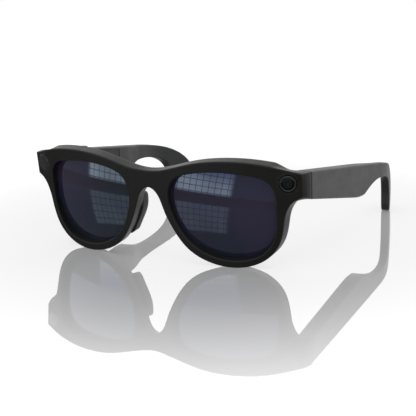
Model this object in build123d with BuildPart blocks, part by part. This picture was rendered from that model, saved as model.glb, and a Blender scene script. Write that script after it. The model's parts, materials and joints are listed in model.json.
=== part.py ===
from build123d import *
from math import asin, atan, cos, degrees, radians, sin
import os

# Smart glasses: a front, two folding temples, a capture button and a power switch.
# Millimetres. +X is the wearer's left, -Y is forward and +Z is up. The glasses stand open on a
# table at z = 0, on both rims and both temple tips, with the origin under the middle of the part.

os.makedirs("parts", exist_ok=True)

# ---- driving sizes: the front ----
half_width = 75.8  # middle plane to the outer face of an endpiece or temple
front_height = 51.8  # up the leaning face, rims' bottom to brow top
front_y = -69.65  # where the face's plane of symmetry meets the table
face_lean = 7.0  # degrees, the brow forward of the rims' bottom
bow_radius = 208.0  # of the face, seen from above
rim_depth = 6.8
endpiece_depth = 16.5  # front_y to the hinge seam
endpiece_bottom = 34.2  # up the face
endpiece_top = 45.2
corner_inset = 1.3  # endpiece's face corner, in from half_width
corner_reach = 9.0  # of the side's draw-in, ahead of the seam
corner_block = 6.0  # solid depth ahead of the seam
rim_bottom = -0.54  # on the face; the bow brings it up to the table
bridge_top = 45.4
bridge_arch = 37.0
bridge_scoop_width = 17.0
bridge_scoop_depth = 1.1

# ---- lenses ----
lens_radius = 135.0  # spherical front surface
lens_thickness = 1.8
lens_recess = 2.0  # lens front behind the face, at the lens centre
lens_centre = (37.7, 25.0)  # on the face
groove_depth = 1.0  # lens edge past the opening
lens_play = 0.05

# ---- camera and light, one in each endpiece ----
eye_x = 68.6
eye_v = 41.0
eye_bore_radius = 4.3
eye_bore_depth = 1.2
eye_well_radius = 3.9
eye_well_depth = 4.2
eye_play = 0.08
bezel_width = 0.75
eye_glass_thickness = 0.6
barrel_radius = 2.4
lens_element_radius = 1.3
sensor_board_side = 5.2
sensor_board_thickness = 0.8
board_gap = 0.1  # under an eye's board
bezel_lift = 0.8  # a bezel or its window's rim, clear of the board
window_depth = 0.2  # camera window behind the face
barrel_gap = 0.2  # behind the window
element_depth = 0.2  # in the barrel's mouth
element_thickness = 1.0
light_depth = 0.1  # light window behind the face

# ---- brow channel ----
brow_end = (64.4, 43.5)  # of its middle line, on the face
channel_width = 1.8
channel_floor = 4.5  # behind the face
brow_cover_width = 3.2
brow_cover_thickness = 1.0
brow_cover_play = 0.05
flex_width = 1.4
flex_thickness = 0.2
link_spot = (64.9, 43.1)  # of the flex's way into each eye well, on the face
link_radius = 1.1
link_depth = 3.2
link_rise = 0.6  # past the channel's floor

# ---- nose ----
pad_depth = 4.4  # behind the rim
contact_radius = 1.0
contact_height = 0.5
contact_proud = 0.1
contact_pitch = 3.4
contact_v = 39.3
microphone_length = 3.0
microphone_width = 1.7
microphone_thickness = 0.9
microphone_port_radius = 0.4

# ---- hinges ----
pin_x = 67.4
pin_setback = 2.7  # pin axis behind the seam
pin_radius = 0.7
pin_play = 0.03
press_play = 0.01  # round the pin where it is pressed in
pin_head_radius = 1.1
pin_head_height = 0.35
knuckle_radius = 1.6
knuckle_gap = 0.05
hinge_bottom = 35.4
hinge_top = 44.2
leaf_thickness = 1.2
front_leaf_width = 7.0
temple_leaf_height = 6.8
temple_leaf_end = 11.1  # behind the seam
notch_play = 0.5
screw_radius = 0.6
screw_head_radius = 1.1
screw_head_height = 0.5
hinge_screw_length = 2.4
front_screw_inset = 2.4  # from the leaf's outer edge
front_screw_pitch = 5.0
temple_screw_pitch = 4.0
screw_play = 0.03

# ---- temples ----
temple_thickness = 7.8
tip_thickness = 4.6
seam_gap = 0.2
temple_top = 46.5  # at the seam
temple_bottom = 33.4
top_slope = 0.147  # fall per millimetre rearwards
bottom_slope = 0.206
temple_length = 128.3
hook_length = 44.3  # rear stretch that bends down behind the ear
straight_bottom = 54.0  # of the lower edge, from the seam
ear_bend_radius = 64.0
ear_bend_angle = 17.5
ear_bend_length = 39.3  # rear stretch that turns in towards the head
taper_length = 18.0

# ---- electronics bay in each temple ----
bay_front = 12.8
bay_rear = 57.5
bay_wall = 2.0
bay_corner_radius = 1.2
outer_wall = 1.5
cover_thickness = 1.4
cover_lap = 1.0
cover_play = 0.05
boss_radius = 1.5
boss_inset = 1.9
cover_screw_radius = 0.5
cover_screw_head_radius = 0.9
cover_screw_head_height = 0.5
cover_screw_length = 3.0

# ---- inside the bays ----
battery_length = 20.0
battery_height = 8.4
battery_thickness = 3.8
battery_front = 24.4
battery_inset = 2.3  # behind the temple's inner face
power_board_length = 7.4
power_board_inset = 3.4
board_length = 28.0
board_height = 6.8
board_thickness = 0.8
board_front = 16.6
board_inset = 3.6
board_drop = 1.0  # below the bay's middle line
shield_length = 14.0
shield_inset = 0.6
shield_thickness = 1.3
touch_length = 26.0
touch_front = 18.0
touch_height = 7.0
touch_thickness = 0.2
antenna_front = 45.6
antenna_length = 8.4
antenna_height = 5.0
antenna_thickness = 0.15
speaker_length = 8.6
speaker_height = 5.6
speaker_thickness = 3.6
speaker_front = 45.0
speaker_inset = 2.0
grille_length = 8.0
grille_width = 1.8
grille_thickness = 0.6
grille_hole_radius = 0.25
grille_hole_pitch = 0.85
grille_columns = 8
grille_rows = 2
grille_play = 0.02
grille_lip = 0.3  # ledge that the grille sits on
wire_radius = 0.6
wire_end = 91.9  # behind the seam
wire_x = 73.5
wire_z = 29.5
wire_gap = 0.2
temple_microphone_u = 19.6
temple_microphone_x = 73.25

# ---- controls ----
button_length = 9.6
button_width = 3.4
button_proud = 0.8
button_flange = 0.6
button_flange_thickness = 0.5
button_travel = 0.4
button_centre = 27.5  # behind the seam
button_play = 0.15
switch_side = 3.0
switch_thickness = 1.0
slider_length = 4.6
slider_height = 2.2
slider_travel = 2.2
slider_proud = 0.5
slider_flange = 0.8
slider_flange_thickness = 0.5
slider_front = 18.8  # its front end at rest, behind the seam
slider_play = 0.12

# ---- clearances for the making ----
seat_gap = 0.05  # between pieces that sit on each other
clear = 1.0  # cutters reach this far past what they cut
spare = 5.0  # blanks stand this far past what is cut from them
through = 80.0  # more than any piece's depth

seam_y = front_y + endpiece_depth
pin_y = seam_y + pin_setback
inner_x = half_width - temple_thickness

# ---- working planes ----
lean = radians(face_lean)
# on the face, seen from the front: local x to the wearer's left, local y up the face, z forward
face = Plane(origin=(0, front_y, 0), x_dir=(1, 0, 0), z_dir=(0, -cos(lean), -sin(lean)))
# across the face, seen from above: local y rearwards
plan = Plane(origin=(0, front_y, 0), x_dir=(1, 0, 0), z_dir=(0, -sin(lean), cos(lean)))
# beside a temple: local x rearwards from the seam, local y up
beside = Plane(origin=(0, seam_y, 0), x_dir=(0, 1, 0), z_dir=(1, 0, 0))
above = Plane(origin=(0, seam_y, 0))


def on_face(x, v, depth=0.0):
    """Plane on the bowed face at height v, its z pointing out, set back by depth."""
    turn = asin(x / bow_radius)
    reach = bow_radius - depth
    spot = face.from_local_coords((reach * sin(turn), v, reach * cos(turn) - bow_radius))
    outward = face.z_dir * cos(turn) + face.x_dir * sin(turn)
    across = face.x_dir * cos(turn) - face.z_dir * sin(turn)
    return Plane(origin=spot, x_dir=across, z_dir=outward)


def save(piece, name):
    piece.part.label = name
    export_step(piece.part, f"parts/{name}.step")


def bowed_band(near, far):
    """The layer between two depths behind the face, seen from above."""
    reach = half_width + spare
    with BuildSketch() as band:
        with BuildLine():
            ends = []
            for radius in (bow_radius - near, bow_radius - far):
                turn = asin(reach / bow_radius)
                end = (radius * sin(turn), bow_radius - radius * cos(turn))
                ThreePointArc((-end[0], end[1]), (0, bow_radius - radius), end)
                ends.append(end)
            for sign in (-1, 1):
                Line((sign * ends[0][0], ends[0][1]), (sign * ends[1][0], ends[1][1]))
        make_face()
    return band.sketch


def front_outline():
    """The front's outer shape, drawn on the face."""
    brow = [(0, bridge_top), (10.6, 46.9), (25, 50.5), (38, front_height), (55, 50.6),
            (half_width, endpiece_top)]
    rim = [(half_width, endpiece_bottom), (70.6, 31.6), (67.0, 26.6), (65.2, 19.0), (61.8, 9.2),
           (54, 2.2), (44, rim_bottom), (30, 1.3), (19, 7.6), (11.6, 18), (7.2, 28.2), (4.3, 34.4),
           (0, bridge_arch)]
    with BuildSketch() as outline:
        with BuildLine():
            Spline(*[(-x, v) for x, v in brow[:0:-1]], *brow)
            Line((half_width, endpiece_top), (half_width, endpiece_bottom))
            Spline(*rim, *[(-x, v) for x, v in rim[-2::-1]])
            Line((-half_width, endpiece_bottom), (-half_width, endpiece_top))
        make_face()
    return outline.sketch


def alongside(curve, distance, count):
    """Evenly spaced points to the left of a curve, at a distance from it."""
    spots = []
    for step in range(count + 1):
        way = curve % (step / count)
        spots.append(curve @ (step / count) + Vector(-way.Y, way.X) * distance)
    return spots


def lens_outline(grow):
    """The left lens opening, drawn on the face, grown all round."""
    with BuildSketch() as outline:
        with BuildLine():
            ring = Spline((11.1, 32.5), (14.0, 41.4), (23, 45.3), (36, 46.4), (50, 45.0), (58.6, 42.2),
                          (61.9, 37.6), (62.5, 30), (61.6, 17), (56.5, 7.7), (44, 3.1), (30, 5.2),
                          (18.5, 13.3), (12.4, 25), periodic=True, mode=Mode.PRIVATE)
            Spline(*alongside(ring, grow, 30)[:-1], periodic=True)
        make_face()
    return outline.sketch


lens_axis = on_face(lens_centre[0], lens_centre[1], lens_recess)
lens_ball = lens_axis.from_local_coords((0, 0, -lens_radius))


def lens_blank(play):
    """A spherical lens cut to the opening plus its groove depth, larger by play on every side."""
    with BuildPart() as blank:
        with BuildSketch(face.offset(through / 2)):
            add(lens_outline(groove_depth + play))
        extrude(amount=-through)
        with Locations(lens_ball):
            Sphere(lens_radius + play, mode=Mode.INTERSECT)
        with Locations(lens_ball):
            Sphere(lens_radius - lens_thickness - play, mode=Mode.SUBTRACT)
    return blank.part


def both_sides(shape):
    """A shape and its mirror image about the middle plane."""
    return [shape, mirror(shape, about=Plane.YZ, mode=Mode.PRIVATE)]


def brow_strip(width):
    """A strip of the given width that follows the brow from endpiece to endpiece."""
    half = [(0, 43.2), (10.6, 44.6), (18, 46.4), (26, 48.4), (38, 49.5), (52, 48.5), (60, 46.5),
            brow_end]
    with BuildSketch() as strip:
        with BuildLine():
            middle = Spline(*[(-x, v) for x, v in half[:0:-1]], *half, mode=Mode.PRIVATE)
            upper = alongside(middle, width / 2, 36)
            lower = alongside(middle, -width / 2, 36)
            Spline(*upper)
            Spline(*lower)
            Line(upper[0], lower[0])
            Line(upper[-1], lower[-1])
        make_face()
    return strip.sketch


def brow_layer(width, near, far):
    """The brow strip as a solid between two depths behind the face."""
    with BuildPart() as layer:
        with BuildSketch(plan):
            add(bowed_band(near, far))
        extrude(amount=front_height + spare)
        with BuildSketch(face.offset(through / 2)):
            add(brow_strip(width))
        extrude(amount=-through, mode=Mode.INTERSECT)
    return layer.part


def peg(spot, radius, near, far):
    """A round bar along a plane's z, from near to far behind the plane."""
    return spot * Pos(0, 0, -(near + far) / 2) * Cylinder(radius, far - near, mode=Mode.PRIVATE)


def slab(spot, length, width, near, far):
    """A block centred on a plane, from near to far behind it."""
    block = Box(length, width, far - near, mode=Mode.PRIVATE)
    return spot * Pos(0, 0, -(near + far) / 2) * block


def between(low, high):
    """A block from one corner to the opposite one."""
    sizes = [b - a for a, b in zip(low, high)]
    middle = [(a + b) / 2 for a, b in zip(low, high)]
    return Pos(*middle) * Box(*sizes, mode=Mode.PRIVATE)


def save_pair(piece, name):
    """Writes a left-hand piece and its right-hand mirror image."""
    save(piece, f"{name}_left")
    with BuildPart() as twin:
        add(mirror(piece.part, about=Plane.YZ, mode=Mode.PRIVATE))
    save(twin, f"{name}_right")


def screws(spots, radius, head_radius, head_height, length):
    """Pan-head screws whose heads end flush with their planes."""
    with BuildPart() as set_of_screws:
        for spot in spots:
            add(peg(spot, head_radius, 0, head_height))
            add(peg(spot, radius, head_height, length))
    return set_of_screws


def screw_holes(spots, radius, head_radius, head_height, length):
    """The holes that those screws go in, a little larger all round."""
    holes = []
    for spot in spots:
        holes.append(peg(spot, head_radius + screw_play, -clear, head_height))
        holes.append(peg(spot, radius + screw_play, 0, length + screw_play))
    return holes


# ---- front frame ----
eyes = [on_face(sign * eye_x, eye_v) for sign in (1, -1)]
links = [on_face(sign * link_spot[0], link_spot[1]) for sign in (1, -1)]
leaf_left = pin_x - knuckle_radius
leaf_middle = (hinge_bottom + hinge_top) / 2
leaf_right = leaf_left + front_leaf_width
front_screw_spots = [
    Plane(origin=(leaf_right - front_screw_inset, seam_y, leaf_middle + sign * front_screw_pitch / 2),
          z_dir=(0, 1, 0))
    for sign in (-1, 1)
]
contacts = [on_face(sign * contact_pitch / 2, contact_v, rim_depth) for sign in (1, -1)]
microphone_spot = on_face(0, 43.2)

with BuildPart() as front_frame:
    with BuildSketch(plan):
        add(bowed_band(0, rim_depth))
    extrude(amount=front_height + spare)
    with BuildSketch(face.offset(through / 2)):
        add(front_outline())
    extrude(amount=-through, mode=Mode.INTERSECT)
    # solid corners between the rims' backs and the hinge seams, as high as the bowed face's corners
    corner_top = on_face(half_width, endpiece_top).origin.Z
    for sign in (-1, 1):
        sides = sorted((sign * leaf_left, sign * half_width))
        add(between((sides[0], seam_y - corner_block, endpiece_bottom * cos(lean)),
                    (sides[1], seam_y, corner_top)))
    # endpieces end at the seam, and their sides draw in towards the face
    with BuildSketch():
        with BuildLine():
            ahead = front_y - through / 2
            corners = [(sign * (half_width - corner_inset), seam_y - corner_reach) for sign in (-1, 1)]
            for sign, corner in zip((-1, 1), corners):
                half_way = (sign * (half_width - 0.27 * corner_inset), seam_y - corner_reach / 2)
                ThreePointArc((sign * half_width, seam_y), half_way, corner)
                Line(corner, (corner[0], ahead))
            Line((-half_width, seam_y), (half_width, seam_y))
            Line((corners[0][0], ahead), (corners[1][0], ahead))
        make_face()
    extrude(amount=through, mode=Mode.INTERSECT)
    # shallow upright scoop across the bridge
    scoop_radius = ((bridge_scoop_width / 2) ** 2 + bridge_scoop_depth**2) / (2 * bridge_scoop_depth)
    with BuildSketch(plan):
        with Locations((0, bridge_scoop_depth - scoop_radius)):
            Circle(scoop_radius)
    extrude(amount=front_height + spare, mode=Mode.SUBTRACT)
    with BuildSketch(face.offset(through / 2)):
        add(lens_outline(0))
        mirror(about=Plane.YZ)
    extrude(amount=-through, mode=Mode.SUBTRACT)
    add(both_sides(lens_blank(lens_play)), mode=Mode.SUBTRACT)
    for eye in eyes:
        add(peg(eye, eye_bore_radius, -clear, eye_bore_depth), mode=Mode.SUBTRACT)
        add(peg(eye, eye_well_radius, 0, eye_well_depth), mode=Mode.SUBTRACT)
    add(brow_layer(brow_cover_width, rim_depth - brow_cover_thickness, rim_depth + clear),
        mode=Mode.SUBTRACT)
    add(brow_layer(channel_width, channel_floor, rim_depth), mode=Mode.SUBTRACT)
    for link in links:
        add(peg(link, link_radius, link_depth, channel_floor + link_rise), mode=Mode.SUBTRACT)
    add(peg(microphone_spot, microphone_port_radius, -clear, channel_floor + clear / 2), mode=Mode.SUBTRACT)
    for contact in contacts:
        add(peg(contact, contact_radius + screw_play, contact_proud - contact_height, clear),
            mode=Mode.SUBTRACT)
    # seats and holes for the hinges
    for sign in (-1, 1):
        sides = sorted((sign * leaf_left, sign * leaf_right))
        add(between((sides[0], seam_y - leaf_thickness, hinge_bottom), (sides[1], seam_y + clear, hinge_top)),
            mode=Mode.SUBTRACT)
    holes = screw_holes(front_screw_spots, screw_radius, screw_head_radius, screw_head_height,
                        hinge_screw_length)
    for hole in holes:
        add(both_sides(hole), mode=Mode.SUBTRACT)
save(front_frame, "front_frame")

# ---- lenses ----
with BuildPart() as lens:
    add(lens_blank(0))
save_pair(lens, "lens")

# ---- brow cover and the flexible circuit under it ----
with BuildPart() as brow_cover:
    add(brow_layer(brow_cover_width - 2 * brow_cover_play, rim_depth - brow_cover_thickness, rim_depth))
save(brow_cover, "brow_cover")

with BuildPart() as front_flex:
    add(brow_layer(flex_width, channel_floor, channel_floor + flex_thickness))
    add(peg(microphone_spot, microphone_port_radius, 0, rim_depth), mode=Mode.SUBTRACT)
save(front_flex, "front_flex")

microphone_depth = channel_floor + flex_thickness
with BuildPart() as bridge_microphone:
    add(slab(microphone_spot, microphone_length, microphone_width, microphone_depth,
             microphone_depth + microphone_thickness))
save(bridge_microphone, "bridge_microphone")

with BuildPart() as charge_contacts:
    for contact in contacts:
        add(peg(contact, contact_radius, contact_proud - contact_height, contact_proud))
save(charge_contacts, "charge_contacts")

# ---- camera in the left endpiece ----
camera, light = eyes
bezel_radius = eye_well_radius - eye_play
window_radius = bezel_radius - bezel_width - eye_play
barrel_depth = window_depth + eye_glass_thickness + barrel_gap
board_depth = eye_well_depth - sensor_board_thickness - board_gap

with BuildPart() as camera_bezel:
    add(peg(camera, bezel_radius, 0, board_depth - bezel_lift))
    add(peg(camera, window_radius + eye_play, -clear, window_depth + eye_glass_thickness), mode=Mode.SUBTRACT)
    add(peg(camera, barrel_radius + eye_play, 0, eye_well_depth), mode=Mode.SUBTRACT)
save(camera_bezel, "camera_bezel")

with BuildPart() as camera_window:
    add(peg(camera, window_radius, window_depth, window_depth + eye_glass_thickness))
save(camera_window, "camera_window")

with BuildPart() as camera_barrel:
    add(peg(camera, barrel_radius, barrel_depth, board_depth))
    add(peg(camera, lens_element_radius + eye_play, 0, eye_well_depth), mode=Mode.SUBTRACT)
save(camera_barrel, "camera_barrel")

with BuildPart() as camera_lens_element:
    add(peg(camera, lens_element_radius, barrel_depth + element_depth,
            barrel_depth + element_depth + element_thickness))
save(camera_lens_element, "camera_lens_element")

with BuildPart() as camera_sensor_board:
    add(slab(camera, sensor_board_side, sensor_board_side, board_depth,
             board_depth + sensor_board_thickness))
save(camera_sensor_board, "camera_sensor_board")

# ---- light in the right endpiece ----
with BuildPart() as light_window:
    add(peg(light, eye_bore_radius - eye_play, light_depth, eye_bore_depth))
save(light_window, "light_window")

with BuildPart() as light_guide:
    add(peg(light, barrel_radius, eye_bore_depth, board_depth))
save(light_guide, "light_guide")

with BuildPart() as light_board:
    add(slab(light, sensor_board_side, sensor_board_side, board_depth,
             board_depth + sensor_board_thickness))
save(light_board, "light_board")

# ---- nose pads, moulded on behind the rims ----
with BuildPart() as nose_pad:
    with BuildSketch(plan):
        add(bowed_band(rim_depth, rim_depth + pad_depth))
    extrude(amount=front_height + spare)
    with BuildSketch(face.offset(through / 2)):
        with BuildLine():
            Spline((7.7, 27.0), (9.7, 20.2), (13.5, 13.4), (17.4, 9.6), (19.2, 11.2), (15.6, 16.6),
                   (12.6, 23.2), (10.6, 29.8), (8.5, 30.6), periodic=True)
        make_face()
    extrude(amount=-through, mode=Mode.INTERSECT)
save_pair(nose_pad, "nose_pad")

# ---- hinges ----
knuckle_height = (hinge_top - hinge_bottom - 2 * knuckle_gap) / 3
axis_spot = Plane(origin=(pin_x, pin_y, hinge_top))
hinge_height = hinge_top - hinge_bottom

with BuildPart() as hinge_front_leaf:
    add(between((leaf_left, seam_y - leaf_thickness, hinge_bottom), (leaf_right, seam_y, hinge_top)))
    for base in (hinge_bottom, hinge_top - knuckle_height):
        with BuildSketch(Plane.XY.offset(base)):
            with Locations((pin_x, pin_y)):
                Circle(knuckle_radius)
            with Locations((pin_x, seam_y + pin_setback / 2)):
                Rectangle(2 * knuckle_radius, pin_setback)
        extrude(amount=knuckle_height)
    add(peg(axis_spot, pin_radius + press_play, -clear, hinge_height + clear), mode=Mode.SUBTRACT)
    for hole in screw_holes(front_screw_spots, screw_radius, screw_head_radius, screw_head_height,
                            hinge_screw_length):
        add(hole, mode=Mode.SUBTRACT)
save_pair(hinge_front_leaf, "hinge_front_leaf")

with BuildPart() as hinge_pin:
    add(peg(axis_spot, pin_radius, -pin_head_height, hinge_height + pin_head_height))
    add(peg(axis_spot, pin_head_radius, -pin_head_height, 0))
    add(peg(axis_spot, pin_head_radius, hinge_height, hinge_height + pin_head_height))
save_pair(hinge_pin, "hinge_pin")
save_pair(screws(front_screw_spots, screw_radius, screw_head_radius, screw_head_height,
                 hinge_screw_length), "hinge_front_screws")

notch_end = pin_y + knuckle_radius + notch_play
leaf_end = seam_y + temple_leaf_end
temple_screw_spots = [
    Plane(origin=(inner_x, (notch_end + leaf_end) / 2, leaf_middle + sign * temple_screw_pitch / 2),
          z_dir=(-1, 0, 0))
    for sign in (-1, 1)
]

with BuildPart() as hinge_temple_leaf:
    add(between((inner_x, notch_end, leaf_middle - temple_leaf_height / 2),
                (inner_x + leaf_thickness, leaf_end, leaf_middle + temple_leaf_height / 2)))
    with BuildSketch(Plane.XY.offset(leaf_middle - knuckle_height / 2)):
        with Locations((pin_x, pin_y)):
            Circle(knuckle_radius)
        with Locations((inner_x + leaf_thickness / 2, (pin_y + notch_end) / 2)):
            Rectangle(leaf_thickness, notch_end - pin_y)
    extrude(amount=knuckle_height)
    add(peg(axis_spot, pin_radius + pin_play, -clear, hinge_height + clear), mode=Mode.SUBTRACT)
    for hole in screw_holes(temple_screw_spots, screw_radius, screw_head_radius, screw_head_height,
                            hinge_screw_length):
        add(hole, mode=Mode.SUBTRACT)
save_pair(hinge_temple_leaf, "hinge_temple_leaf")
save_pair(screws(temple_screw_spots, screw_radius, screw_head_radius, screw_head_height,
                 hinge_screw_length), "hinge_temple_screws")


# ---- temples ----
hook_start = temple_length - hook_length
bend_start = temple_length - ear_bend_length
middle_slope = (top_slope + bottom_slope) / 2
middle_tilt = degrees(atan(middle_slope))
middle_x = (half_width + inner_x) / 2


def middle_z(u):
    """Height of a temple's middle line, u behind the seam."""
    return (temple_top + temple_bottom) / 2 - middle_slope * u


def temple_side():
    """A temple seen from the side: u rearwards from the seam, and height."""
    rise = (hook_start - 20, temple_top - top_slope * (hook_start - 20))
    belly = (straight_bottom, temple_bottom - bottom_slope * straight_bottom)
    heel = (hook_start - 17.8, 21.3)
    with BuildSketch() as side:
        with BuildLine():
            Line((seam_gap, temple_bottom), (seam_gap, temple_top))
            Line((seam_gap, temple_top), rise)
            Spline(rise, (hook_start, 34.1), (hook_start + 14, 31.7), (hook_start + 27.5, 27.8),
                   (hook_start + 34, 24.5), (hook_start + 40, 19.9), (hook_start + 43.8, 14.2),
                   (temple_length, 9.2), (hook_start + 42.2, 4), (hook_start + 38.7, 0.8),
                   (hook_start + 35, 0.03), (hook_start + 31.6, 1.4), (hook_start + 29.7, 5),
                   (hook_start + 29.2, 9.5), (hook_start + 27.8, 14.4), (hook_start + 24.2, 19.4),
                   (hook_start + 18, 23), (hook_start + 9, 25.1), (hook_start, 25.5),
                   (hook_start - 9, 24), heel)
            Spline(heel, (hook_start - 24, 21.4), belly)
            Line(belly, (seam_gap, temple_bottom))
        make_face()
    return side.sketch


def temple_plan():
    """A temple seen from above, with its ear end turned in towards the head."""
    turn = radians(ear_bend_angle)
    centre = (half_width - ear_bend_radius, bend_start)
    reach = through / 2
    with BuildSketch() as shape:
        with BuildLine():
            ends = []
            for radius in (ear_bend_radius, ear_bend_radius - tip_thickness):
                arc_end = (centre[0] + radius * cos(turn), centre[1] + radius * sin(turn))
                half_way = (centre[0] + radius * cos(turn / 2), centre[1] + radius * sin(turn / 2))
                ThreePointArc((centre[0] + radius, centre[1]), half_way, arc_end)
                far = (arc_end[0] - reach * sin(turn), arc_end[1] + reach * cos(turn))
                Line(arc_end, far)
                ends.append(far)
            Line(*ends)
            Line((half_width, seam_gap), (half_width, bend_start))
            Line((half_width - tip_thickness, bend_start), (half_width - tip_thickness, hook_start))
            Spline((half_width - tip_thickness, hook_start), (inner_x, hook_start - taper_length),
                   tangents=[(0, -1), (0, -1)])
            Line((inner_x, hook_start - taper_length), (inner_x, seam_gap))
            Line((inner_x, seam_gap), (half_width, seam_gap))
        make_face()
    return shape.sketch


def bay_outline(grow):
    """The electronics bay seen from the side, grown all round."""
    corners = []
    for u, front in ((bay_front - grow, True), (bay_rear + grow, False)):
        top = (u, temple_top - top_slope * u - bay_wall + grow)
        bottom = (u, temple_bottom - bottom_slope * u + bay_wall - grow)
        corners += [bottom, top] if front else [top, bottom]
    with BuildSketch() as outline:
        with BuildLine():
            Polyline(*corners, close=True)
        make_face()
        fillet(outline.vertices(), bay_corner_radius)
    return outline.sketch


def bay_block(front, length, height, inset, thickness, drop=0.0):
    """A block on the bay's tilted middle line, inset from the temple's inner face."""
    u = front + length / 2
    with BuildPart() as block:
        with BuildSketch(beside.offset(inner_x + inset)):
            with Locations(Location((u, middle_z(u) - drop, 0), (0, 0, -middle_tilt))):
                Rectangle(length, height)
        extrude(amount=thickness)
    return block


boss_spots = [
    Plane(origin=(inner_x, seam_y + u, middle_z(u)), z_dir=(-1, 0, 0))
    for u in (bay_front + boss_inset, bay_rear - boss_inset)
]
bay_depth = temple_thickness - outer_wall
bottom_tilt = atan(bottom_slope)


def below(x, u):
    """A plane on a temple's lower face, its z pointing out and its x rearwards."""
    return Plane(origin=(x, seam_y + u, temple_bottom - bottom_slope * u),
                 x_dir=(0, cos(bottom_tilt), -sin(bottom_tilt)),
                 z_dir=(0, -sin(bottom_tilt), -cos(bottom_tilt)))


grille_spot = below(middle_x, speaker_front + speaker_length / 2)
port_spot = below(temple_microphone_x, temple_microphone_u)

with BuildPart() as temple_blank:
    with BuildSketch(beside.offset(half_width - through / 2)):
        add(temple_side())
    extrude(amount=through)
    with BuildSketch(above):
        add(temple_plan())
    extrude(amount=temple_top + spare, mode=Mode.INTERSECT)
    with BuildSketch(beside.offset(inner_x - clear)):
        add(bay_outline(0))
    extrude(amount=clear + bay_depth, mode=Mode.SUBTRACT)
    with BuildSketch(beside.offset(inner_x - clear)):
        add(bay_outline(cover_lap))
    extrude(amount=clear + cover_thickness, mode=Mode.SUBTRACT)
    for spot in boss_spots:
        add(peg(spot, boss_radius, cover_thickness, bay_depth + clear / 2))
    for hole in screw_holes(boss_spots, cover_screw_radius, cover_screw_head_radius,
                            cover_screw_head_height, cover_screw_length):
        add(hole, mode=Mode.SUBTRACT)
    # notch round the hinge's knuckles, and the leaf's seat
    with BuildSketch(Plane.XY.offset(hinge_bottom - notch_play)):
        with Locations((pin_x, (seam_y + notch_end) / 2)):
            Rectangle(2 * (knuckle_radius + notch_play), notch_end - seam_y)
    extrude(amount=hinge_height + 2 * notch_play, mode=Mode.SUBTRACT)
    add(between((inner_x - clear, notch_end - clear, leaf_middle - temple_leaf_height / 2),
                (inner_x + leaf_thickness, leaf_end, leaf_middle + temple_leaf_height / 2)),
        mode=Mode.SUBTRACT)
    for hole in screw_holes(temple_screw_spots, screw_radius, screw_head_radius, screw_head_height,
                            hinge_screw_length):
        add(hole, mode=Mode.SUBTRACT)
    # speaker outlet, microphone port and the stiffening wire's bore
    add(slab(grille_spot, grille_length, grille_width, -clear, grille_thickness), mode=Mode.SUBTRACT)
    add(slab(grille_spot, grille_length - 2 * grille_lip, grille_width - 2 * grille_lip, 0,
             bay_wall + clear), mode=Mode.SUBTRACT)
    add(peg(port_spot, microphone_port_radius, -clear, bay_wall + clear / 2), mode=Mode.SUBTRACT)
    wire_spot = Plane(origin=(wire_x, seam_y + wire_end, wire_z), z_dir=(0, 1, 0))
    wire_length = wire_end - bay_rear
    add(peg(wire_spot, wire_radius + screw_play, -screw_play, wire_length + clear / 2), mode=Mode.SUBTRACT)

with BuildPart() as temple_shell_left:
    add(temple_blank.part)
save(temple_shell_left, "temple_shell_left")

# capture button, through the right temple's top
top_tilt = atan(top_slope)
button_spot = Plane(origin=(-middle_x, seam_y + button_centre, temple_top - top_slope * button_centre),
                    x_dir=(0, cos(top_tilt), -sin(top_tilt)), z_dir=(0, sin(top_tilt), cos(top_tilt)))


def button_body(grow, near, far):
    """The button's round-ended outline as a solid, from near to far below the temple's top."""
    with BuildPart() as body:
        with BuildSketch(button_spot.offset(-far)):
            SlotOverall(button_length + 2 * grow, button_width + 2 * grow)
        extrude(amount=far - near)
    return body.part


with BuildPart() as temple_shell_right:
    add(mirror(temple_blank.part, about=Plane.YZ, mode=Mode.PRIVATE))
    add(button_body(button_play, -2 * clear, bay_wall + clear / 2), mode=Mode.SUBTRACT)
save(temple_shell_right, "temple_shell_right")

flange_top = bay_wall + seat_gap
flange_bottom = flange_top + button_flange_thickness
with BuildPart() as capture_button:
    add(button_body(0, -button_proud, flange_bottom))
    add(button_body(button_flange, flange_top, flange_bottom))
save(capture_button, "capture_button")

switch_top = flange_bottom + button_travel + seat_gap
with BuildPart() as capture_switch:
    add(slab(button_spot, switch_side, switch_side, switch_top, switch_top + switch_thickness))
save(capture_switch, "capture_switch")

# covers, with the power switch's slot in the left one
with BuildPart() as cover_blank:
    with BuildSketch(beside.offset(inner_x)):
        add(bay_outline(cover_lap - cover_play))
    extrude(amount=cover_thickness)
    for hole in screw_holes(boss_spots, cover_screw_radius, cover_screw_head_radius,
                            cover_screw_head_height, cover_screw_length):
        add(hole, mode=Mode.SUBTRACT)

with BuildPart() as temple_cover_left:
    add(cover_blank.part)
    slot = bay_block(slider_front - slider_play, slider_length + slider_travel + 2 * slider_play,
                     slider_height + 2 * slider_play, -clear, cover_thickness + 2 * clear)
    add(slot.part, mode=Mode.SUBTRACT)
save(temple_cover_left, "temple_cover_left")

with BuildPart() as temple_cover_right:
    add(mirror(cover_blank.part, about=Plane.YZ, mode=Mode.PRIVATE))
save(temple_cover_right, "temple_cover_right")
save_pair(screws(boss_spots, cover_screw_radius, cover_screw_head_radius, cover_screw_head_height,
                 cover_screw_length), "cover_screws")

slider_u = slider_front + slider_length / 2
slider_spot = Plane(origin=(inner_x, seam_y + slider_u, middle_z(slider_u)),
                    x_dir=(0, 1, -middle_slope), z_dir=(-1, 0, 0))
slider_back = cover_thickness + seat_gap
with BuildPart() as power_switch_slider:
    add(slab(slider_spot, slider_length, slider_height, -slider_proud,
             slider_back + slider_flange_thickness))
    add(slab(slider_spot, slider_length + 2 * slider_flange, slider_height + 2 * slider_flange,
             slider_back, slider_back + slider_flange_thickness))
save(power_switch_slider, "power_switch_slider")

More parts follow.
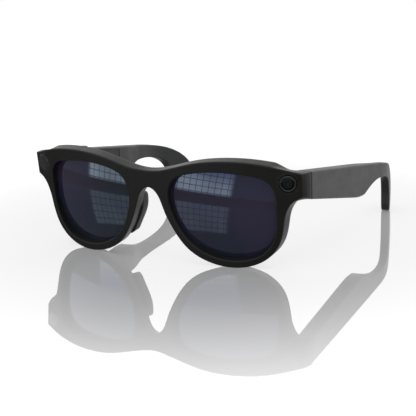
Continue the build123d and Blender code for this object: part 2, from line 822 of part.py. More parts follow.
# ---- what the bays hold ----
save_pair(bay_block(speaker_front, speaker_length, speaker_height, speaker_inset, speaker_thickness),
          "speaker")
with BuildPart() as speaker_grille:
    add(slab(grille_spot, grille_length - 2 * grille_play, grille_width - 2 * grille_play, 0,
             grille_thickness))
    with BuildSketch(grille_spot):
        with GridLocations(grille_hole_pitch, grille_hole_pitch, grille_columns, grille_rows):
            Circle(grille_hole_radius)
    extrude(amount=-clear, mode=Mode.SUBTRACT)
save_pair(speaker_grille, "speaker_grille")

with BuildPart() as microphone:
    add(slab(port_spot, microphone_length, microphone_width, bay_wall + seat_gap,
             bay_wall + seat_gap + microphone_thickness))
save_pair(microphone, "microphone")

with BuildPart() as core_wire:
    add(peg(wire_spot, wire_radius, 0, wire_length - wire_gap))
save_pair(core_wire, "core_wire")

save(bay_block(battery_front, battery_length, battery_height, battery_inset, battery_thickness),
     "battery")
save(bay_block(board_front, power_board_length, board_height, power_board_inset, board_thickness),
     "power_board")
save(bay_block(slider_front, switch_side, switch_side, power_board_inset - switch_thickness,
               switch_thickness), "power_switch")

right_bay = {
    "main_board": (board_front, board_length, board_height, board_inset, board_thickness, board_drop),
    "processor_shield": (board_front + shield_inset, shield_length, board_height - 2 * shield_inset,
                         board_inset - shield_thickness, shield_thickness, board_drop),
    "touchpad_flex": (touch_front, touch_length, touch_height, bay_depth - touch_thickness,
                      touch_thickness),
    "antenna": (antenna_front, antenna_length, antenna_height, bay_depth - antenna_thickness,
                antenna_thickness),
}
for name, values in right_bay.items():
    with BuildPart() as piece:
        add(mirror(bay_block(*values).part, about=Plane.YZ, mode=Mode.PRIVATE))
    save(piece, name)
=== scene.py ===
import json
import math

import bmesh
import bpy
import numpy as np
from mathutils import Matrix, Vector, geometry


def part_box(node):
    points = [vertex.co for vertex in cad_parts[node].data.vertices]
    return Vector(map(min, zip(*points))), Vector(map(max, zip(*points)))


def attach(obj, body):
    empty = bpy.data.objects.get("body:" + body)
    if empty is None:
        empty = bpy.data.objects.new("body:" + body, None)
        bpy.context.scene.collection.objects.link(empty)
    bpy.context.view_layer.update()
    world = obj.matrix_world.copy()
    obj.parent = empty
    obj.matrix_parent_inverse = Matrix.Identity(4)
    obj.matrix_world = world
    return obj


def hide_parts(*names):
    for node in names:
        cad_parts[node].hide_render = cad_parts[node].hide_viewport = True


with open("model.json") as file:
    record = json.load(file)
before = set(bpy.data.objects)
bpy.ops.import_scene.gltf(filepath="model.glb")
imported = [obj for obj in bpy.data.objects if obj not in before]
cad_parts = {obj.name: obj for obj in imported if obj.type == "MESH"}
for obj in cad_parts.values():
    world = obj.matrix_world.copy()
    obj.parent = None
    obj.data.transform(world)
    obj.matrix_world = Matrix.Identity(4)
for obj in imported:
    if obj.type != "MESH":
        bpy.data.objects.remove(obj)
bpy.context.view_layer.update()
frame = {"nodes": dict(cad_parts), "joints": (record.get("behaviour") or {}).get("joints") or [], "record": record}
nodes = frame["nodes"]
mm = 0.001
sideNames = {1: "left", -1: "right"}

# sizes in millimetres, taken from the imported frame
frontLow, frontHigh = [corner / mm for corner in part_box("front_frame")]
halfWidth = frontHigh.x
seamY = frontHigh.y
pinSpot = Vector(frame["joints"][0]["pos_m"]) / mm
coverLow, coverHigh = [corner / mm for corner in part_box("temple_cover_left")]
innerX = coverLow.x
print("frame loaded, half width", round(halfWidth, 2), "mm")

face = {
    "lean": math.radians(7.0),
    "behindSeam": 16.5,  # the face's foot to the seam
    "bow": 208.0,
    "rimDepth": 6.8,
    "cornerInset": 1.3,
    "brow": [(0, 45.4), (10.6, 46.9), (25, 50.5), (38, 51.8), (55, 50.6), (75.8, 45.2)],
    "rim": [(75.8, 34.2), (70.6, 31.6), (67, 26.6), (65.2, 19), (61.8, 9.2), (54, 2.2), (44, -0.54),
            (30, 1.3), (19, 7.6), (11.6, 18), (7.2, 28.2), (4.3, 34.4), (0, 37.0)],
    "opening": [(11.1, 32.5), (14, 41.4), (23, 45.3), (36, 46.4), (50, 45), (58.6, 42.2), (61.9, 37.6),
                (62.5, 30), (61.6, 17), (56.5, 7.7), (44, 3.1), (30, 5.2), (18.5, 13.3), (12.4, 25)],
    "scoopWidth": 17.0,
    "scoopDepth": 1.1,
    "edge": 0.55,
    "endBottom": 34.2,  # endpiece, up the face
    "endTop": 45.2,
    "seamBottom": 33.4,
    "seamHeight": 13.1,
}
faceY = seamY - face["behindSeam"]
sinLean = math.sin(face["lean"])
cosLean = math.cos(face["lean"])


# ---- shared shape helpers ----
def smoothStep(value, low, high):
    t = min(max((value - low) / (high - low), 0.0), 1.0)
    return t * t * (3 - 2 * t)


def smoothLine(knots, count, closed=False):
    points = np.array(knots, float)
    if closed:
        points = np.vstack([points, points[:1]])
    ways = np.concatenate([[0], np.cumsum(np.linalg.norm(np.diff(points, axis=0), axis=1))])
    gaps = np.diff(ways)
    size = len(ways)
    matrix = np.zeros((size, size))
    known = np.zeros((size, 2))
    for i in range(1, size - 1):
        matrix[i, i - 1:i + 2] = gaps[i - 1], 2 * (gaps[i - 1] + gaps[i]), gaps[i]
        known[i] = 6 * ((points[i + 1] - points[i]) / gaps[i] - (points[i] - points[i - 1]) / gaps[i - 1])
    if closed:
        matrix[0, 0], matrix[0, -1] = 1, -1
        matrix[-1, 0], matrix[-1, 1], matrix[-1, -2] = 2 * (gaps[0] + gaps[-1]), gaps[0], gaps[-1]
        known[-1] = 6 * ((points[1] - points[0]) / gaps[0] - (points[-1] - points[-2]) / gaps[-1])
    else:
        matrix[0, 0] = matrix[-1, -1] = 1
    bends = np.linalg.solve(matrix, known)
    line = []
    for way in np.linspace(0, ways[-1], count, endpoint=not closed):
        i = min(max(int(np.searchsorted(ways, way)) - 1, 0), size - 2)
        a, b, h = ways[i + 1] - way, way - ways[i], gaps[i]
        spot = (bends[i] * a ** 3 + bends[i + 1] * b ** 3) / (6 * h)
        spot += (points[i] / h - bends[i] * h / 6) * a + (points[i + 1] / h - bends[i + 1] * h / 6) * b
        line.append((float(spot[0]), float(spot[1])))
    return line


def straight(start, end, count):
    return [(start[0] + (end[0] - start[0]) * i / count, start[1] + (end[1] - start[1]) * i / count)
            for i in range(1, count)]


def turned(ring):
    area = sum(a[0] * b[1] - b[0] * a[1] for a, b in zip(ring, ring[1:] + ring[:1]))
    return ring if area > 0 else ring[::-1]  # anticlockwise


def inset(ring, amount):
    moved = []
    for before, here, after in zip(ring[-1:] + ring[:-1], ring, ring[1:] + ring[:1]):
        one = Vector((here[0] - before[0], here[1] - before[1])).normalized()
        two = Vector((after[0] - here[0], after[1] - here[1])).normalized()
        middle = (one + two).normalized()
        reach = amount / max(middle.dot(one), 0.5)
        moved.append((here[0] - middle.y * reach, here[1] + middle.x * reach))
    return moved


def rounded(corners, radius, steps=6):
    ring = []
    for before, here, after in zip(corners[-1:] + corners[:-1], corners, corners[1:] + corners[:1]):
        here = Vector(here)
        one = (Vector(before) - here).normalized()
        two = (Vector(after) - here).normalized()
        half = one.angle(two) / 2
        centre = here + (one + two).normalized() * radius / math.sin(half)
        start = here + one * radius / math.tan(half) - centre
        end = here + two * radius / math.tan(half) - centre
        ring += [tuple(centre + start.lerp(end, i / steps).normalized() * radius) for i in range(steps + 1)]
    return ring


def slotRing(length, width, count=48):
    ring = []
    for i in range(count):
        a = 2 * math.pi * (i + 0.5) / count
        ring.append((math.cos(a) * width / 2 + math.copysign((length - width) / 2, math.cos(a)),
                     math.sin(a) * width / 2))
    return ring


def onPlane(origin, along, outward):
    along, outward = Vector(along).normalized(), Vector(outward).normalized()
    across = outward.cross(along)
    return lambda x, y, out: Vector(origin) + along * x + across * y + outward * out


def platePlace(plane, near, far):
    return lambda x, y, share, off: plane(x, y, near + (far - near) * share + off)


def insideRing(spots, ring):
    ring = np.array(ring)
    x, y = spots[:, 0:1], spots[:, 1:2]
    x1, y1 = ring[:, 0], ring[:, 1]
    x2, y2 = np.roll(x1, -1), np.roll(y1, -1)
    crosses = ((y1 > y) != (y2 > y)) & (x < (x2 - x1) * (y - y1) / (y2 - y1 + 1e-12) + x1)
    return crosses.sum(axis=1) % 2 == 1


def addObject(name, data):
    obj = bpy.data.objects.new(name, data)
    bpy.context.scene.collection.objects.link(obj)
    return obj


def ringFaces(first, rings, count):
    faces = []
    for r in range(rings - 1):
        for i in range(count):
            a, b = first + r * count + i, first + r * count + (i + 1) % count
            faces.append((a, b, b + count, a + count))
    return faces


def sharpen(obj, angle=38):
    obj.data.shade_smooth()
    obj.data.set_sharp_from_angle(angle=math.radians(angle))


def toObject(name, verts, faces, smooth=True):
    mesh = bpy.data.meshes.new(name)
    mesh.from_pydata([Vector(v) * mm for v in verts], [], faces)
    tidy = bmesh.new()
    tidy.from_mesh(mesh)
    bmesh.ops.remove_doubles(tidy, verts=tidy.verts, dist=0.004 * mm)
    bmesh.ops.recalc_face_normals(tidy, faces=tidy.faces)
    tidy.to_mesh(mesh)
    tidy.free()
    for polygon in mesh.polygons:
        polygon.use_smooth = smooth
    return addObject(name, mesh)


def slab(name, outer, holes, place, edge, spacing, steps=4, walls=1):
    rounds = [(edge * (1 - math.sin(a)), edge * (1 - math.cos(a)))
              for a in [math.pi / 2 * i / steps for i in range(steps + 1)]]
    support = (edge + 0.12, 0.0)
    rings = [(i, 0.0, s) for i, s in [support] + rounds]
    rings += [(0.0, i / (walls + 1), 0.0) for i in range(1, walls + 1)]
    rings += [(i, 1.0, -s) for i, s in reversed([support] + rounds)]
    verts, faces = [], []
    ends = []
    for loop, sign in [(turned(outer), 1)] + [(turned(hole), -1) for hole in holes]:
        first = len(verts)
        for amount, share, off in rings:
            ring = inset(loop, sign * amount)
            verts += [place(x, y, share, off) for x, y in ring]
        faces += ringFaces(first, len(rings), len(loop))
        ends.append(inset(loop, sign * support[0]))
    flat = [Vector(p) for ring in ends for p in ring]
    edges, start = [], 0
    for ring in ends:
        edges += [(start + i, start + (i + 1) % len(ring)) for i in range(len(ring))]
        start += len(ring)
    known = np.array([tuple(p) for p in flat])
    low, high = known.min(axis=0), known.max(axis=0)
    grid = np.array([(x, y) for x in np.arange(low[0], high[0], spacing)
                     for y in np.arange(low[1], high[1], spacing)])

    def within(spots):
        kept = insideRing(spots, ends[0])
        for ring in ends[1:]:
            kept &= ~insideRing(spots, ring)
        return kept
    grid = grid[within(grid)]
    apart = [np.hypot(*(known - spot).T).min() > 0.55 * spacing for spot in grid]
    flat += [Vector(spot) for spot, free in zip(grid, apart) if free]
    cells = geometry.delaunay_2d_cdt(flat, edges, [], 0, 1e-5)
    spots = np.array([tuple(v) for v in cells[0]])
    centres = np.array([spots[list(cell)].mean(axis=0) for cell in cells[2]])
    kept = [cell for cell, good in zip(cells[2], within(centres)) if good]
    for share in (0, 1):
        first = len(verts)
        verts += [place(x, y, float(share), 0.0) for x, y in spots]
        faces += [tuple(first + i for i in (cell if share else reversed(cell))) for cell in kept]
    return toObject(name, verts, faces)


def lathe(name, profile, spot, outward, count=96):
    axis = Vector(outward).normalized()
    across = axis.cross(Vector((0, 0, 1))).normalized()
    rise = across.cross(axis)
    verts = []
    for radius, depth in profile:
        for i in range(count):
            a = 2 * math.pi * i / count
            spread = (across * math.cos(a) + rise * math.sin(a)) * radius
            verts.append(Vector(spot) + spread - axis * depth)
    faces = ringFaces(0, len(profile), count)
    for r in (0, len(profile) - 1):
        if profile[r][0] > 0.02 and profile[0] != profile[-1]:
            faces.append(tuple(r * count + i for i in range(count)))
    return toObject(name, verts, faces)


def shaveOff(obj, cutter):
    cut = obj.modifiers.new("cut", "BOOLEAN")
    cut.operation = "DIFFERENCE"
    cut.solver = "EXACT"
    cut.object = cutter
    settle(obj)
    bpy.data.objects.remove(cutter)


def settle(obj):
    graph = bpy.context.evaluated_depsgraph_get()
    mesh = bpy.data.meshes.new_from_object(obj.evaluated_get(graph))
    obj.modifiers.clear()
    old = obj.data
    obj.data = mesh
    bpy.data.meshes.remove(old)


def softCopy(node, width):
    source = nodes[node]
    obj = addObject(node + "_made", source.data.copy())
    tidy = bmesh.new()
    tidy.from_mesh(obj.data)
    bmesh.ops.remove_doubles(tidy, verts=tidy.verts, dist=0.002 * mm)
    bmesh.ops.dissolve_limit(tidy, angle_limit=math.radians(1.5), verts=tidy.verts, edges=tidy.edges)
    bmesh.ops.recalc_face_normals(tidy, faces=tidy.faces)
    tidy.to_mesh(obj.data)
    tidy.free()
    bevel = obj.modifiers.new("round", "BEVEL")
    bevel.width = width * mm
    bevel.segments = 2
    bevel.limit_method = "ANGLE"
    bevel.angle_limit = math.radians(30)
    bevel.harden_normals = False
    bpy.context.view_layer.update()
    settle(obj)
    sharpen(obj, 35)
    return obj


def finish(obj, body, slotName, material, *replaced):
    obj.data.materials.clear()
    obj.data.materials.append(material)
    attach(obj, body)
    if replaced:
        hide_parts(*replaced)


# ---- shader groups ----
def newGroup(name, inputs, outputs):
    group = bpy.data.node_groups.new(name, "ShaderNodeTree")
    for label, value in inputs:
        socket = group.interface.new_socket(label, in_out="INPUT", socket_type="NodeSocketFloat")
        socket.default_value = value
    for label, kind in outputs:
        group.interface.new_socket(label, in_out="OUTPUT", socket_type=kind)
    start = group.nodes.new("NodeGroupInput")
    end = group.nodes.new("NodeGroupOutput")
    return group, start, end


def addNode(tree, kind, **values):
    node = tree.nodes.new(kind)
    for key, value in values.items():
        setattr(node, key, value)
    return node


def setInputs(node, values):
    for label, value in values.items():
        node.inputs[label].default_value = value


def mapRange(tree, value, low, high, start=0.0, end=1.0, smooth=True):
    node = addNode(tree, "ShaderNodeMapRange")
    if smooth:
        node.interpolation_type = "SMOOTHSTEP"
    setInputs(node, {"From Min": low, "From Max": high, "To Min": start, "To Max": end})
    tree.links.new(value, node.inputs["Value"])
    return node.outputs["Result"]


def objectCoords(tree):
    return addNode(tree, "ShaderNodeTexCoord").outputs["Object"]


def addBump(tree, shader, height, strength, distance):
    bump = addNode(tree, "ShaderNodeBump")
    setInputs(bump, {"Strength": strength, "Distance": distance})
    tree.links.new(height, bump.inputs["Height"])
    tree.links.new(bump.outputs["Normal"], shader.inputs["Normal"])


def mathNode(tree, operation, first, second):
    node = addNode(tree, "ShaderNodeMath", operation=operation)
    for socket, value in zip(node.inputs, (first, second)):
        if isinstance(value, (int, float)):
            socket.default_value = value
        else:
            tree.links.new(value, socket)
    return node.outputs[0]


def times(tree, first, second):
    return mathNode(tree, "MULTIPLY", first, second)


def plus(tree, first, second):
    return mathNode(tree, "ADD", first, second)


def noiseNode(tree, coords, scale, detail=3.0, roughness=0.5):
    node = addNode(tree, "ShaderNodeTexNoise")
    setInputs(node, {"Detail": detail, "Roughness": roughness})
    tree.links.new(coords, node.inputs["Vector"])
    if isinstance(scale, (int, float)):
        node.inputs["Scale"].default_value = scale
    else:
        tree.links.new(scale, node.inputs["Scale"])
    return node.outputs["Fac"]


def makeGrainGroup():
    group, start, end = newGroup(
        "mouldedGrain", [("Grain Scale", 3500.0), ("Grain Depth", 0.05)],
        [("Height", "NodeSocketFloat"), ("Gloss Change", "NodeSocketFloat")])
    coords = objectCoords(group)
    fine = noiseNode(group, coords, start.outputs["Grain Scale"], 2.0, 0.6)
    broad = noiseNode(group, coords, 140.0, 4.0, 0.55)
    raised = times(group, fine, start.outputs["Grain Depth"])
    group.links.new(raised, end.inputs["Height"])
    change = mathNode(group, "SUBTRACT", broad, 0.5)
    group.links.new(times(group, change, 0.22), end.inputs["Gloss Change"])
    return group


def makeWearGroup():
    group, start, end = newGroup(
        "edgeWear", [("Wear", 0.4), ("Breakup Scale", 420.0)], [("Mask", "NodeSocketFloat")])
    coords = objectCoords(group)
    sharp = addNode(group, "ShaderNodeNewGeometry").outputs["Pointiness"]
    worn = mapRange(group, sharp, 0.505, 0.56, smooth=False)
    broken = noiseNode(group, coords, start.outputs["Breakup Scale"], 4.0, 0.6)
    mask = times(group, worn, broken)
    group.links.new(times(group, mask, start.outputs["Wear"]), end.inputs["Mask"])
    return group


def makeDustGroup():
    group, start, end = newGroup(
        "fineDust", [("Dust", 0.05), ("Speck Scale", 900.0)], [("Mask", "NodeSocketFloat")])
    coords = objectCoords(group)
    specks = addNode(group, "ShaderNodeTexVoronoi")
    group.links.new(coords, specks.inputs["Vector"])
    group.links.new(start.outputs["Speck Scale"], specks.inputs["Scale"])
    near = mapRange(group, specks.outputs["Distance"], 0.09, 0.03, smooth=False)
    patches = noiseNode(group, coords, 90.0, 3.0, 0.5)
    mask = times(group, near, patches)
    group.links.new(times(group, mask, start.outputs["Dust"]), end.inputs["Mask"])
    return group


grainGroup = makeGrainGroup()
wearGroup = makeWearGroup()
dustGroup = makeDustGroup()


def groupNode(tree, group, **values):
    node = addNode(tree, "ShaderNodeGroup")
    node.node_tree = group
    for key, value in values.items():
        node.inputs[key.replace("_", " ")].default_value = value
    return node


def newMaterial(name):
    material = bpy.data.materials.new(name)
    material.use_nodes = True
    return material, material.node_tree, material.node_tree.nodes["Principled BSDF"]


def mixColour(tree, mask, first, second):
    mix = addNode(tree, "ShaderNodeMix", data_type="RGBA")
    tree.links.new(mask, mix.inputs["Factor"])
    for socket, value in ((mix.inputs["A"], first), (mix.inputs["B"], second)):
        if isinstance(value, tuple):
            socket.default_value = (*value, 1)
        else:
            tree.links.new(value, socket)
    return mix.outputs["Result"]


def plasticMaterial(name, colour, worn, roughness, grain=(3500.0, 0.05), wear=0.4, dust=0.04, coat=0.0,
                    specular=0.5):
    material, tree, shader = newMaterial(name)
    grainNode = groupNode(tree, grainGroup, Grain_Scale=grain[0], Grain_Depth=grain[1])
    wearNode = groupNode(tree, wearGroup, Wear=wear)
    dustNode = groupNode(tree, dustGroup, Dust=dust)
    coords = objectCoords(tree)
    cloud = noiseNode(tree, coords, 60.0, 3.0, 0.5)
    base = mixColour(tree, cloud, tuple(c * 0.86 for c in colour), tuple(c * 1.14 for c in colour))
    base = mixColour(tree, wearNode.outputs["Mask"], base, worn)
    base = mixColour(tree, dustNode.outputs["Mask"], base, (0.45, 0.44, 0.42))
    tree.links.new(base, shader.inputs["Base Color"])
    rough = plus(tree, grainNode.outputs["Gloss Change"], roughness)
    rough = plus(tree, rough, times(tree, dustNode.outputs["Mask"], 0.5))
    tree.links.new(rough, shader.inputs["Roughness"])
    addBump(tree, shader, grainNode.outputs["Height"], 0.35, 0.00012)
    setInputs(shader, {"Coat Weight": coat, "Coat Roughness": 0.12, "Specular IOR Level": specular})
    return material


def metalMaterial(name, colour, roughness, brushed=0.0, dark=0.6):
    material, tree, shader = newMaterial(name)
    shader.inputs["Metallic"].default_value = 1.0
    coords = objectCoords(tree)
    stretch = addNode(tree, "ShaderNodeMapping")
    stretch.inputs["Scale"].default_value = (1, 1, 1 + 24 * brushed)
    tree.links.new(coords, stretch.inputs["Vector"])
    lines = noiseNode(tree, stretch.outputs["Vector"], 1800.0, 3.0, 0.6)
    stain = noiseNode(tree, coords, 260.0, 4.0, 0.6)
    base = mixColour(tree, stain, tuple(c * dark for c in colour), colour)
    wearNode = groupNode(tree, wearGroup, Wear=0.8)
    base = mixColour(tree, wearNode.outputs["Mask"], base, tuple(min(c * 1.5, 1.0) for c in colour))
    tree.links.new(base, shader.inputs["Base Color"])
    rough = times(tree, mathNode(tree, "SUBTRACT", lines, 0.5), 0.25)
    tree.links.new(plus(tree, rough, roughness), shader.inputs["Roughness"])
    addBump(tree, shader, lines, 0.15, 0.00005)
    return material


def lensMaterial(name):
    material, tree, shader = newMaterial(name)
    coords = objectCoords(tree)
    tint = noiseNode(tree, coords, 22.0, 2.0, 0.4)
    ramp = addNode(tree, "ShaderNodeValToRGB")
    ramp.color_ramp.elements[0].position = 0.34
    ramp.color_ramp.elements[0].color = (0.010, 0.015, 0.017, 1)
    ramp.color_ramp.elements[1].position = 0.66
    ramp.color_ramp.elements[1].color = (0.022, 0.016, 0.034, 1)
    middle = ramp.color_ramp.elements.new(0.5)
    middle.color = (0.013, 0.015, 0.026, 1)
    tree.links.new(tint, ramp.inputs["Fac"])
    dustNode = groupNode(tree, dustGroup, Dust=0.05, Speck_Scale=700.0)
    base = mixColour(tree, dustNode.outputs["Mask"], ramp.outputs["Color"], (0.4, 0.4, 0.42))
    tree.links.new(base, shader.inputs["Base Color"])
    smear = noiseNode(tree, coords, 160.0, 5.0, 0.65)
    rough = times(tree, mathNode(tree, "GREATER_THAN", smear, 0.62), 0.015)
    tree.links.new(plus(tree, rough, 0.02), shader.inputs["Roughness"])
    setInputs(shader, {"IOR": 1.72, "Specular Tint": (0.66, 0.72, 1.0, 1), "Coat Weight": 0.35,
                       "Coat Roughness": 0.02, "Coat Tint": (0.85, 0.9, 1.0, 1)})
    return material


def glassMaterial(name, colour, speckled, haze, ior):
    material, tree, shader = newMaterial(name)
    coords = objectCoords(tree)
    speck = noiseNode(tree, coords, 500.0, 3.0, 0.5)
    base = mixColour(tree, speck, colour, speckled)
    tree.links.new(base, shader.inputs["Base Color"])
    smear = noiseNode(tree, coords, 900.0, 3.0, 0.5)
    tree.links.new(plus(tree, times(tree, smear, haze), 0.02),
                   shader.inputs["Roughness"])
    setInputs(shader, {"IOR": ior, "Coat Weight": 0.6, "Coat Roughness": 0.02})
    return material


def paintedGlintGlass(name):
    material, tree, shader = newMaterial(name)
    low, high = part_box("camera_window")
    coords = objectCoords(tree)
    away = addNode(tree, "ShaderNodeVectorMath", operation="DISTANCE")
    tree.links.new(coords, away.inputs[0])
    away.inputs[1].default_value = (low + high) / 2
    # painted highlight and painted reflection: the radial ramp paints a greenish centre glow and a thin light ring
    # about 1.5 mm out onto the opaque window, in place of the lit lens element and barrel lip seen through the
    # glass
    rings = addNode(tree, "ShaderNodeValToRGB")
    rings.color_ramp.elements[0].color = (0.006, 0.022, 0.016, 1)
    rings.color_ramp.elements[1].color = (0.0012, 0.0012, 0.0014, 1)
    rings.color_ramp.elements[1].position = 0.62
    for spot, colour in ((0.2, (0.004, 0.016, 0.012, 1)), (0.3, (0.001, 0.002, 0.002, 1)),
                         (0.44, (0.001, 0.002, 0.002, 1)), (0.48, (0.022, 0.026, 0.025, 1)),
                         (0.53, (0.002, 0.002, 0.002, 1))):
        rings.color_ramp.elements.new(spot).color = colour
    share = mathNode(tree, "DIVIDE", away.outputs["Value"], 3.2 * mm)
    tree.links.new(share, rings.inputs["Fac"])
    tree.links.new(rings.outputs["Color"], shader.inputs["Base Color"])
    haze = noiseNode(tree, coords, 900.0, 3.0, 0.5)
    tree.links.new(times(tree, haze, 0.1), shader.inputs["Roughness"])
    setInputs(shader, {"Specular IOR Level": 0.3, "Coat Weight": 0.15, "Coat Roughness": 0.02})
    return material


def coatedWithPaintedSheen(name, deep, paintedSheen):
    material, tree, shader = newMaterial(name)
    coords = objectCoords(tree)
    speck = noiseNode(tree, coords, 1200.0, 2.0, 0.5)
    # painted sheen: the base colour is the lighter colour where the surface faces the viewer and the deep colour
    # at grazing angles
    edge = addNode(tree, "ShaderNodeLayerWeight")
    edge.inputs["Blend"].default_value = 0.35
    base = mixColour(tree, edge.outputs["Facing"], paintedSheen, deep)
    tree.links.new(base, shader.inputs["Base Color"])
    tree.links.new(times(tree, speck, 0.08), shader.inputs["Roughness"])
    setInputs(shader, {"Coat Weight": 1.0, "Coat Roughness": 0.02, "Coat Tint": (0.7, 1.0, 0.85, 1)})
    return material


def boardMaterial(name, mask, copper):
    material, tree, shader = newMaterial(name)
    coords = objectCoords(tree)
    cells = addNode(tree, "ShaderNodeTexVoronoi", feature="DISTANCE_TO_EDGE")
    cells.inputs["Scale"].default_value = 700.0
    tree.links.new(coords, cells.inputs["Vector"])
    track = mathNode(tree, "LESS_THAN", cells.outputs["Distance"], 0.05)
    tree.links.new(mixColour(tree, track, mask, copper), shader.inputs["Base Color"])
    shader.inputs["Roughness"].default_value = 0.35
    addBump(tree, shader, track, 0.3, 0.00005)
    return material


looks = {
    "frame_black": plasticMaterial("frameSatin", (0.0095, 0.009, 0.008), (0.055, 0.053, 0.05), 0.36,
                                   grain=(4200.0, 0.04), specular=0.2),
    "temple_black": plasticMaterial("templeSatin", (0.021, 0.0215, 0.022), (0.08, 0.08, 0.08), 0.44,
                                    grain=(3800.0, 0.06)),
    "cover_black": plasticMaterial("coverMatt", (0.016, 0.016, 0.017), (0.05, 0.05, 0.05), 0.55,
                                   grain=(3000.0, 0.08)),
    "pad_black": plasticMaterial("padSoft", (0.02, 0.02, 0.019), (0.04, 0.04, 0.04), 0.6,
                                 grain=(2600.0, 0.1), wear=0.15),
    "lens_tint": lensMaterial("lensTint"),
    "bezel_black": plasticMaterial("bezelGloss", (0.006, 0.006, 0.006), (0.05, 0.05, 0.05), 0.16,
                                   grain=(5200.0, 0.01), coat=0.6),
    "camera_glass": glassMaterial("cameraGlass", (0.002, 0.004, 0.004), (0.003, 0.008, 0.006), 0.02, 1.6),
    "barrel_black": plasticMaterial("barrelMatt", (0.004, 0.004, 0.004), (0.03, 0.03, 0.03), 0.6),
    # the camera window's base colour holds a painted centre glow and a painted light ring
    "camera_window": paintedGlintGlass("cameraWindow"),
    # the second colour is a painted sheen on the camera element
    "camera_element": coatedWithPaintedSheen("cameraElement", (0.01, 0.03, 0.022), (0.03, 0.09, 0.07)),
    "light_glass": glassMaterial("lightGlass", (0.006, 0.006, 0.006), (0.01, 0.01, 0.009), 0.05, 1.45),
    "light_clear": glassMaterial("lightClear", (0.6, 0.6, 0.6), (0.7, 0.7, 0.7), 0.05, 1.45),
    "circuit_board": boardMaterial("boardGreen", (0.006, 0.05, 0.022), (0.03, 0.12, 0.05)),
    "flex_amber": boardMaterial("flexAmber", (0.35, 0.15, 0.02), (0.5, 0.25, 0.06)),
    "contact_gold": metalMaterial("contactGold", (0.83, 0.62, 0.28), 0.25),
    "microphone_metal": metalMaterial("microphoneCan", (0.6, 0.58, 0.52), 0.3),
    "battery_foil": metalMaterial("batteryFoil", (0.62, 0.63, 0.65), 0.35),
    "switch_metal": metalMaterial("switchSteel", (0.55, 0.55, 0.56), 0.35),
    "shield_metal": metalMaterial("shieldTin", (0.6, 0.6, 0.61), 0.4, 1.0),
    "speaker_metal": plasticMaterial("speakerBox", (0.012, 0.012, 0.013), (0.06, 0.06, 0.06), 0.5),
    "grille_black": metalMaterial("grilleBlack", (0.05, 0.05, 0.052), 0.4),
    "control_black": plasticMaterial("controlSatin", (0.012, 0.012, 0.012), (0.06, 0.06, 0.06), 0.3,
                                     grain=(4000.0, 0.03)),
    "hinge_steel": metalMaterial("hingeSteel", (0.42, 0.42, 0.43), 0.3, 1.0),
    "screw_steel": metalMaterial("screwSteel", (0.36, 0.36, 0.38), 0.32),
    "core_steel": metalMaterial("coreWire", (0.5, 0.5, 0.5), 0.4, 1.0),
}
slots = {row["node"]: row["material_slot"] for row in frame["record"]["subparts"]}
for name, obj in nodes.items():
    obj.data.materials.clear()
    obj.data.materials.append(looks[slots[name]])
print("materials made:", len(looks))


# ---- camera ----
view = {
    "target": (0.0, -16.1, 10.86),
    "turn": 29.6,
    "rise": 14.07,
    "distance": 592.99,
    "lens": 98.4,
    "roll": -1.77,
    "shift": 0.0132,
}


def makeCamera():
    data = bpy.data.cameras.new("viewCamera")
    data.lens = view["lens"]
    data.sensor_width = 36.0
    data.shift_y = view["shift"]
    data.clip_start = 0.01
    camera = addObject("viewCamera", data)
    turn, rise = math.radians(view["turn"]), math.radians(view["rise"])
    away = Vector((math.sin(turn) * math.cos(rise), -math.cos(turn) * math.cos(rise), math.sin(rise)))
    target = Vector(view["target"]) * mm
    camera.location = target + away * view["distance"] * mm
    look = (-away).to_track_quat("-Z", "Y").to_matrix()
    camera.rotation_euler = (look @ Matrix.Rotation(math.radians(view["roll"]), 3, "Z")).to_euler()
    bpy.context.scene.camera = camera


makeCamera()


# ---- stage and light ----
stage = {
    "floorSide": 3.2,
    "floorGlow": 0.62,
    "mirrorNear": 0.74,  # share of mirror in the floor close to the glasses
    "mirrorFar": 0.03,
    "fadeFrom": 0.1,
    "fadeTo": 0.34,
    "sky": 1.0,
    "skyLow": 0.10,  # what gloss sees below the horizon
    "skyRear": 0.85,
    "soft": 0.75,  # for everything but gloss and the camera
    "domeRadius": 0.9,
    "boxPower": 1.2,
    "boxSize": (0.7, 0.4),
    "boxSpot": (0.25, -0.35, 0.75),
}


def makeFloor():
    half = stage["floorSide"] / 2 / mm
    floor = toObject("studioFloor", [(-half, -half, 0), (half, -half, 0), (half, half, 0), (-half, half, 0)],
                     [(0, 1, 2, 3)], smooth=False)
    material, tree, shader = newMaterial("studioFloor")
    coords = objectCoords(tree)
    cloud = noiseNode(tree, coords, 3.0, 2.0, 0.5)
    tree.links.new(mixColour(tree, cloud, (0.8, 0.8, 0.8), (0.78, 0.78, 0.78)), shader.inputs["Base Color"])
    setInputs(shader, {"Roughness": 0.5, "Specular IOR Level": 0.0, "Emission Color": (1, 1, 1, 1),
                       "Emission Strength": stage["floorGlow"]})
    mirror = addNode(tree, "ShaderNodeBsdfGlossy")
    mirror.inputs["Roughness"].default_value = 0.012
    away = addNode(tree, "ShaderNodeVectorMath", operation="LENGTH")
    tree.links.new(coords, away.inputs[0])
    fade = mapRange(tree, away.outputs["Value"], stage["fadeFrom"], stage["fadeTo"], stage["mirrorNear"],
                    stage["mirrorFar"])
    mix = addNode(tree, "ShaderNodeMixShader")
    tree.links.new(fade, mix.inputs["Fac"])
    tree.links.new(shader.outputs["BSDF"], mix.inputs[1])
    tree.links.new(mirror.outputs["BSDF"], mix.inputs[2])
    tree.links.new(mix.outputs["Shader"], tree.nodes["Material Output"].inputs["Surface"])
    floor.data.materials.append(material)
    floor.visible_glossy = False


